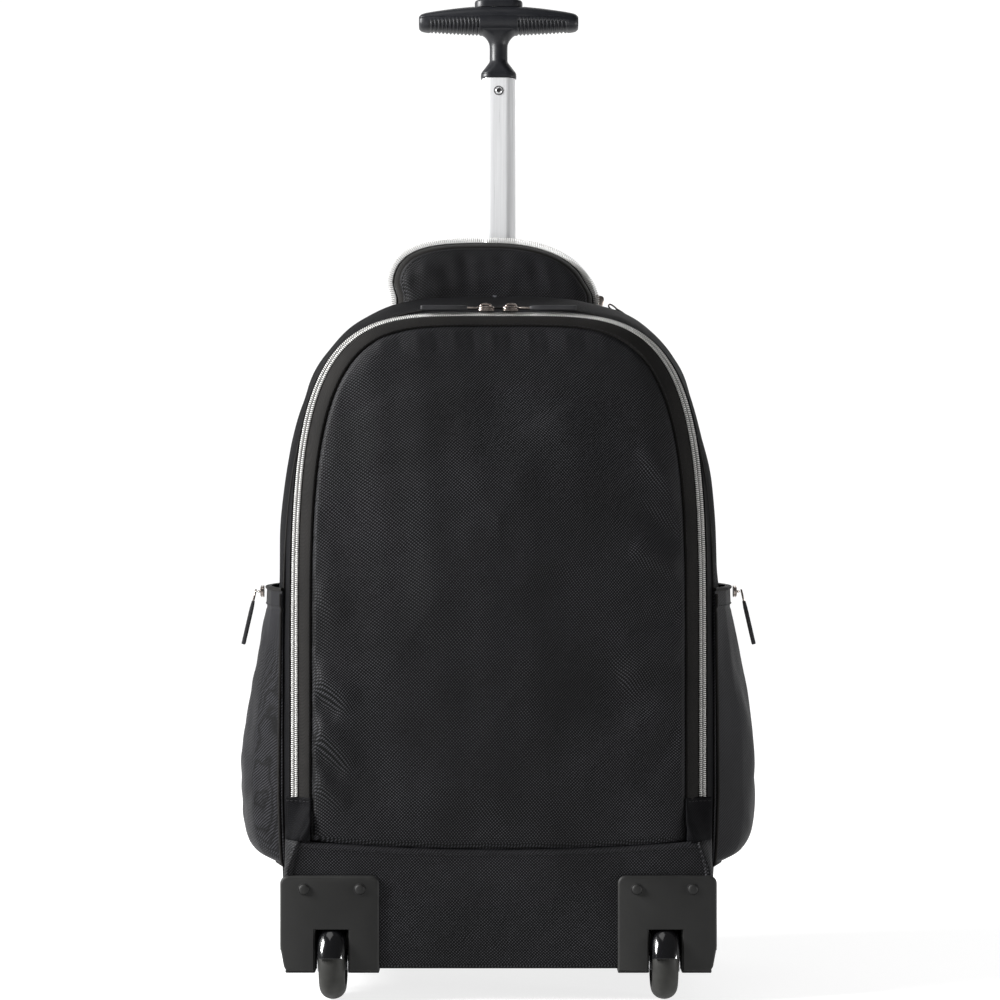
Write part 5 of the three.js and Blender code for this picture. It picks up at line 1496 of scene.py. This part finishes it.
def wheel_pieces(side, name):
    centre = (side * WHEEL["x"], WHEEL["y"], WHEEL["z"])
    body = "wheel_" + name
    across = np.sin(np.linspace(-math.pi / 2, math.pi / 2, 41))
    crown = 27.0 - 8.2 * (1 - np.sqrt(1 - across**2))
    profile = [(18.0, -7.9)]
    profile += [(r, 9.25 * a) for r, a in zip(crown, across)]
    profile += [(18.0, 7.9)]
    tyre = lathe_x("tyre_rubber_" + name, profile, centre, TYRE, 128, sharp=60)
    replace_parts(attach(tyre, body), "tyre_" + name)
    rim = [(14.2, -6.4), (16.4, -7.4), (17.9, -7.5), (18.1, -7.0), (18.1, 7.0), (17.9, 7.5), (16.4, 7.4),
           (14.2, 6.4)]
    boss = [(3.3, -10.1), (6.2, -10.1), (6.7, -9.7), (7.0, -7.6), (7.0, 7.6), (6.7, 9.7), (6.2, 10.1),
            (3.3, 10.1)]
    parts = [lathe_x("rim", rim, centre, GRIP, 96, sharp=35),
             lathe_x("boss", boss, centre, GRIP, 64, sharp=35)]
    for k in range(5):
        turn = 2 * math.pi * k / 5 + 0.3
        direction = np.array([0, math.cos(turn), math.sin(turn)])
        sections = []
        for r, half, thick in ((6.2, 3.0, 5.6), (8.5, 2.4, 5.0), (12.0, 2.3, 4.8), (15.2, 3.2, 5.4)):
            around = np.linspace(0, 2 * math.pi, 24, endpoint=False)
            flat = np.cross((1, 0, 0), direction)
            ring = (np.array(centre) + direction * r + signed_power(np.cos(around), 0.5)[:,
                                                                                         None] * flat * half
                    + signed_power(np.sin(around), 0.5)[:, None] * np.array([1, 0, 0]) * thick)
            sections.append(ring)
        parts.append(lofted("spoke", sections, GRIP, sharp=50))
    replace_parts(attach(joined("wheel_hub_" + name, parts), body), "hub_" + name)
    pin = [(0, -17.7), (4.0, -17.6), (4.9, -16.9), (4.9, -15.6), (3.0, -15.5), (3.0, 15.5), (4.9, 15.6),
           (4.9, 16.9),
           (4.0, 17.6), (0, 17.7)]
    pin_piece = lathe_to("axle_pin_" + name, pin, centre, (1, 0, 0), STEEL, 40, sharp=35)
    washers = []
    for s in (-1, 1):
        washer = [(3.4, s * 10.25), (8.2, s * 10.25), (8.4, s * 10.4), (8.4, s * 11.0), (8.2, s * 11.2),
                  (3.4, s * 11.2)]
        washers.append(lathe_x("washer", washer, centre, STEEL, 48, sharp=35))
    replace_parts(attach(joined("axle_steel_" + name, [pin_piece, *washers]), "bag"), "axle_" + name)


def plate_rivets():
    profile = [(0, 0), (1.6, 0.02), (2.6, 0.2), (3.3, 0.6), (3.6, 1.2), (3.65, 1.7), (2.0, 1.75), (2.0, 8.0),
               (3.4, 8.1),
               (3.4, 10), (0, 10)]
    for x, name in ((-136.2, "left_outer"), (-97, "left_inner"), (97, "right_inner"), (136.2, "right_outer")):
        rivet = lathe_to("rivet_" + name, profile, (x, PLATE_FRONT - 1.8, 80.5), (0, 1, 0), PLATE, 48,
                         sharp=40)
        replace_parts(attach(rivet, "bag"), "plate_rivet_" + name)
        # Painted shade: a dark ring round each rivet head stands in for the shadow crescent round the head.
        ring = np.linspace(0, 2 * math.pi, 48, endpoint=False)
        path = np.column_stack([x + 4.0 * np.cos(ring), np.full(48, PLATE_FRONT + 0.05),
                                80.5 + 4.0 * np.sin(ring)])
        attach(tube_piece("rivet_shade_ring_" + name, path, 0.35, DARK, 8, closed=True), "bag")


def all_wheels():
    for side, name in SIDES:
        plate_piece(side, name)
        wheel_well(side, name)
        mudguard_piece(side, name)
        wheel_pieces(side, name)
    plate_rivets()


# ---- The wearer's side ---------------------------------------------------------------------------


def bar_rings(path, wide, sides=72, squareness=0.5):
    """Rings of a flat padded bar through rows of x, y, z, half width and half thickness."""
    places, half, thick = path[:, :3], path[:, 3], path[:, 4]
    along = unit(np.gradient(places, axis=0))
    face = unit(np.cross(np.broadcast_to(wide, along.shape), along))
    across = unit(np.cross(along, face))
    angle = np.linspace(0, 2 * math.pi, sides, endpoint=False)
    u = signed_power(np.cos(angle), squareness)[None, :, None] * half[:, None, None]
    v = signed_power(np.sin(angle), squareness)[None, :, None] * thick[:, None, None]
    grid = places[:, None] + u * across[:, None] + v * face[:, None]
    return grid, places, across, face, half, thick


def soft_bar(stations, wide, sides=72, rings=120, squareness=0.5):
    return bar_rings(spline(np.array(stations, float), rings), wide, sides, squareness)


def edge_lines(places, across, half, by):
    return [places + across * (s * (half - by))[:, None] for s in (-1, 1)]


def back_pads():
    for side, name in SIDES:
        v = np.sin(np.linspace(-math.pi / 2, math.pi / 2, 302))[1:-1]
        rounded = (1 - np.abs(v) ** 8) ** (1 / 8)
        top = smooth(v, 0.2, 1)
        path = np.column_stack([side * (68 - 3 * top), np.full_like(v, 95.0), 265 + 167 * v,
                                rounded * (51 - 8 * top), 4.1 * (1 - np.abs(v) ** 14) ** 0.5])
        grid, places, across, _, half, _ = bar_rings(path, (1, 0, 0))
        z = grid[..., 2]
        centre = places[:, None]
        channel = np.zeros_like(z)
        for level in range(146, 420, 46):
            channel += np.exp(-(((z - level) / 3.0) ** 2))
        outwards = np.sign(grid[..., 1] - centre[..., 1])
        reach = np.abs(grid[..., 0] - centre[..., 0]) / half[:, None]
        grid[..., 1] -= outwards * (2.2 * channel * (1 - smooth(reach, 0.9, 1.0)))
        grid[..., 1] += np.clip(outwards, 0, 1) * 0.35 * soft_noise(grid, 26, 71)
        pad = lofted("back_pad_mesh_" + name, grid, MESH, sharp=80)
        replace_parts(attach(pad, "bag"), "back_pad_" + name)
        edges = edge_lines(places, across, half, 0.6)
        loop = np.vstack([edges[0], edges[1][::-1]])
        loop[:, 1] -= 1.0
        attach(tube_piece("back_pad_binding_" + name, loop, 1.7, TAPE, 10, closed=True, up=(0, 1, 0)), "bag")


STRAP_STATIONS = [(42, 94, 462, 24, 2), (43, 99.5, 448, 29, 3), (46, 106, 430, 31, 5), (56, 107, 390, 31, 6),
                  (72, 107, 320, 31, 6), (86, 107, 260, 28, 6), (92, 106.5, 222, 20, 5),
                  (94, 106, 212, 14, 2)]
WEBBING_STATIONS = [(98, 105.6, 184, 12, 0.9), (104, 103.5, 150, 12, 0.9), (112, 100.6, 110, 12, 0.9),
                    (120, 94.5, 84, 12, 0.9), (124, 91.6, 70, 12, 0.9)]


def mirrored(stations, side):
    return [(side * x, *rest) for x, *rest in stations]


def shoulder_straps():
    for side, name in SIDES:
        grid, places, across, face, half, thick = soft_bar(mirrored(STRAP_STATIONS, side), (1, 0, 0),
                                                           rings=200)
        reach = np.abs(((grid - places[:, None]) * across[:, None]).sum(-1)) / half[:, None]
        above = np.sign(((grid - places[:, None]) * face[:, None]).sum(-1))
        hollow = 1.3 * np.exp(-(((reach - 0.8) / 0.07) ** 2))
        grid = grid - face[:, None] * (above * hollow * smooth(thick, 2.5, 4.5)[:, None])[..., None]
        grid = grid + face[:, None] * (0.35 * soft_noise(grid, 30, 81 + side))[..., None]
        strap = lofted("shoulder_strap_padding_" + name, grid, MESH, sharp=80)
        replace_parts(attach(strap, "bag"), "shoulder_strap_" + name)
        edges = edge_lines(places[4:-3], across[4:-3], half[4:-3], 0.4)
        for k, edge in enumerate(edges):
            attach(tube_piece(f"shoulder_strap_binding_{name}_{k}", edge, 1.5, TAPE, 10, up=(0, 1, 0)),
                    "bag")
        padded_part = mirrored(STRAP_STATIONS[2:-1], side)
        facing = [(x, y + t + 0.2, z, 10, 0.8) for x, y, z, _, t in padded_part]
        band = soft_bar(facing, (1, 0, 0), 40, 120, 0.3)
        webbing = lofted("strap_facing_" + name, band[0], WEBBING, sharp=60)
        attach(webbing, "bag")
        for s in (-1, 1):
            rows = band[1] + band[2] * (s * 8.0) + np.array([0, 0.75, 0])
            stitches(f"strap_facing_stitches_{name}_{'in' if s * side < 0 else 'out'}", rows, (0, 1, 0),
                     THREAD, "bag")
        lower_webbing(side, name)


def lower_webbing(side, name):
    grid = soft_bar(mirrored(WEBBING_STATIONS, side), (1, 0, 0), 48, 90, 0.3)[0]
    webbing = lofted("strap_webbing_ribbed_" + name, grid, WEBBING, sharp=60)
    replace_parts(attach(webbing, "bag"), "strap_webbing_" + name)
    x = side * 96
    frame_parts = []
    for z0, z1 in ((187, 190.2), (195.4, 200.2), (205.4, 209)):
        frame_parts.append(box_piece("bar", (x - 16, 103.8, z0), (x + 16, 107.8, z1), BUCKLE, 1.1, 4))
    for s in (-1, 1):
        ends = sorted((x + s * 12.8, x + s * 16))
        frame_parts.append(box_piece("side", (ends[0], 103.6, 187.4), (ends[1], 108, 208.6), BUCKLE, 1.1, 4))
    buckle = joined("strap_buckle_moulding_" + name, frame_parts)
    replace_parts(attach(buckle, "bag"), "strap_buckle_" + name)
    anchor = side * WEBBING_STATIONS[-1][0]
    patch = box_piece("strap_anchor_" + name, (anchor - 15, 89.6, 60), (anchor + 15, 91.6, 82),
                      WEBBING, 0.8)
    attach(patch, "bag")
    cross = [[(anchor - 12, 91.9, 63), (anchor + 12, 91.9, 79)],
             [(anchor - 12, 91.9, 79), (anchor + 12, 91.9, 63)]]
    for k, ends in enumerate(cross):
        stitches(f"anchor_stitches_{name}_{k}", np.linspace(*np.array(ends), 20), (0, 1, 0), THREAD, "bag")


def grab_handle():
    stations = [(-52, 91.6, 484, 11, 1.6), (-50, 97, 484, 11, 1.6), (-43, 106, 484, 11, 1.8),
                (-30, 111.5, 484, 11, 2.2),
                (0, 113, 484, 11, 2.6), (30, 111.5, 484, 11, 2.2), (43, 106, 484, 11, 1.8),
                (50, 97, 484, 11, 1.6),
                (52, 91.6, 484, 11, 1.6)]
    grid, places, _, _, _, thick = soft_bar(stations, (0, 0, 1), 56, 150, 0.4)
    handle = lofted("grab_handle_webbing", grid, WEBBING, sharp=60)
    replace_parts(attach(handle, "bag"), "grab_handle")
    for s in (-1, 1):
        line = places[12:-12] + np.array([0, 2.0, s * 7.5])
        line[:, 1] += thick[12:-12] - 1.7
        stitches("grab_handle_stitches_" + ("low" if s < 0 else "high"), line, (0, 1, 0), THREAD, "bag")


def back_panel_details():
    """A reinforced strip across the top of the straps, and the feet."""
    strip = box_piece("strap_yoke", (-86, 90.0, 452), (86, 92.6, 470), TAPE, 1.0, 4)
    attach(strip, "bag")
    for z, tag in ((455, "low"), (467, "high")):
        stitches("yoke_stitches_" + tag, np.linspace((-83, 92.8, z), (83, 92.8, z), 60), (0, 1, 0), THREAD,
                 "bag")
    for side, name in SIDES:
        sections = []
        levels = [(0, 8.5, 7.5), (0.3, 9.6, 8.6), (1.2, 10.8, 9.8), (2.5, 12.1, 11.1), (10, 12.8, 12.2),
                  (16.6, 13.4, 13),
                  (18.6, 15.6, 13.8), (20.4, 17.7, 14.4), (23.0, 18, 14.5), (23.6, 17.6, 14.1)]
        around = np.linspace(0, 2 * math.pi, 64, endpoint=False)
        for z, half_x, half_y in levels:
            sections.append(np.column_stack([side * 128 + signed_power(np.cos(around), 0.5) * half_x,
                                             70 + signed_power(np.sin(around), 0.5) * half_y,
                                             np.full(64, z)]))
        foot = lofted("rear_foot_moulding_" + name, sections, PLATE, sharp=35)
        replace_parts(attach(foot, "bag"), "rear_foot_" + name)


# ---- Inside --------------------------------------------------------------------------------------


def laptop_sleeve():
    """The padded sleeve on the back board, with a bound mouth."""
    x = np.linspace(-125, 125, 90)
    z = np.linspace(40, 330, 110)
    grid = np.empty((len(z), len(x), 3))
    grid[..., 0] = x[None]
    grid[..., 2] = z[:, None]
    edge = np.minimum(smooth(125 - np.abs(grid[..., 0]), 0, 14), smooth(grid[..., 2] - 40, 0, 14))
    puff = 1.6 * edge * np.abs(np.sin(grid[..., 0] / 250 * 5 * math.pi)) ** 0.35
    grid[..., 1] = 22.2 - puff - 0.3 * soft_noise(grid, 40, 91)
    front = grid_piece("sleeve_front", grid, LINING, sharp=80)
    thicken(front, 3.0, offset=1.0)
    parts = [front]
    for s in (-1, 1):
        ends = sorted((s * 121.4, s * 125))
        parts.append(box_piece("gusset", (ends[0], 21, 41), (ends[1], 47.4, 328), LINING, 1.2))
    parts.append(box_piece("bottom", (-124, 21, 40), (124, 47.4, 43.8), LINING, 1.2))
    sleeve = joined("sleeve_padding", parts)
    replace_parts(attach(sleeve, "bag"), "laptop_sleeve")
    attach(tube_piece("sleeve_binding", grid[-1] + [0, 1.2, 0], 2.2, TAPE, 12, up=(0, 1, 0), flat=0.8),
            "bag")


CARRIED_OVER = {
    "tube_foot": DARK, "lock_plug": GRIP, "lock_pin": STEEL, "release_rod": STEEL,
    "base_tray": BOARD, "back_board": BOARD,
}


def finish_carried_nodes():
    """CAD nodes that stay in view get their own materials and smooth shading."""
    for name, material in CARRIED_OVER.items():
        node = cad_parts[name]
        node.data.materials.clear()
        node.data.materials.append(material)
        smooth_faces(node.data, 35)


# ---- Everything ----------------------------------------------------------------------------------

make_camera()
make_studio()
shell_piece()
body_piping()
front_zip()
front_panel_piece()
panel_border()
base_panel_piece()
zip_end_tabs()
handle_garage()
all_sliders()
for pocket_side, pocket_name in SIDES:
    pocket_piece(pocket_side, pocket_name)
telescoping_handle()
all_wheels()
back_pads()
shoulder_straps()
grab_handle()
back_panel_details()
laptop_sleeve()
finish_carried_nodes()
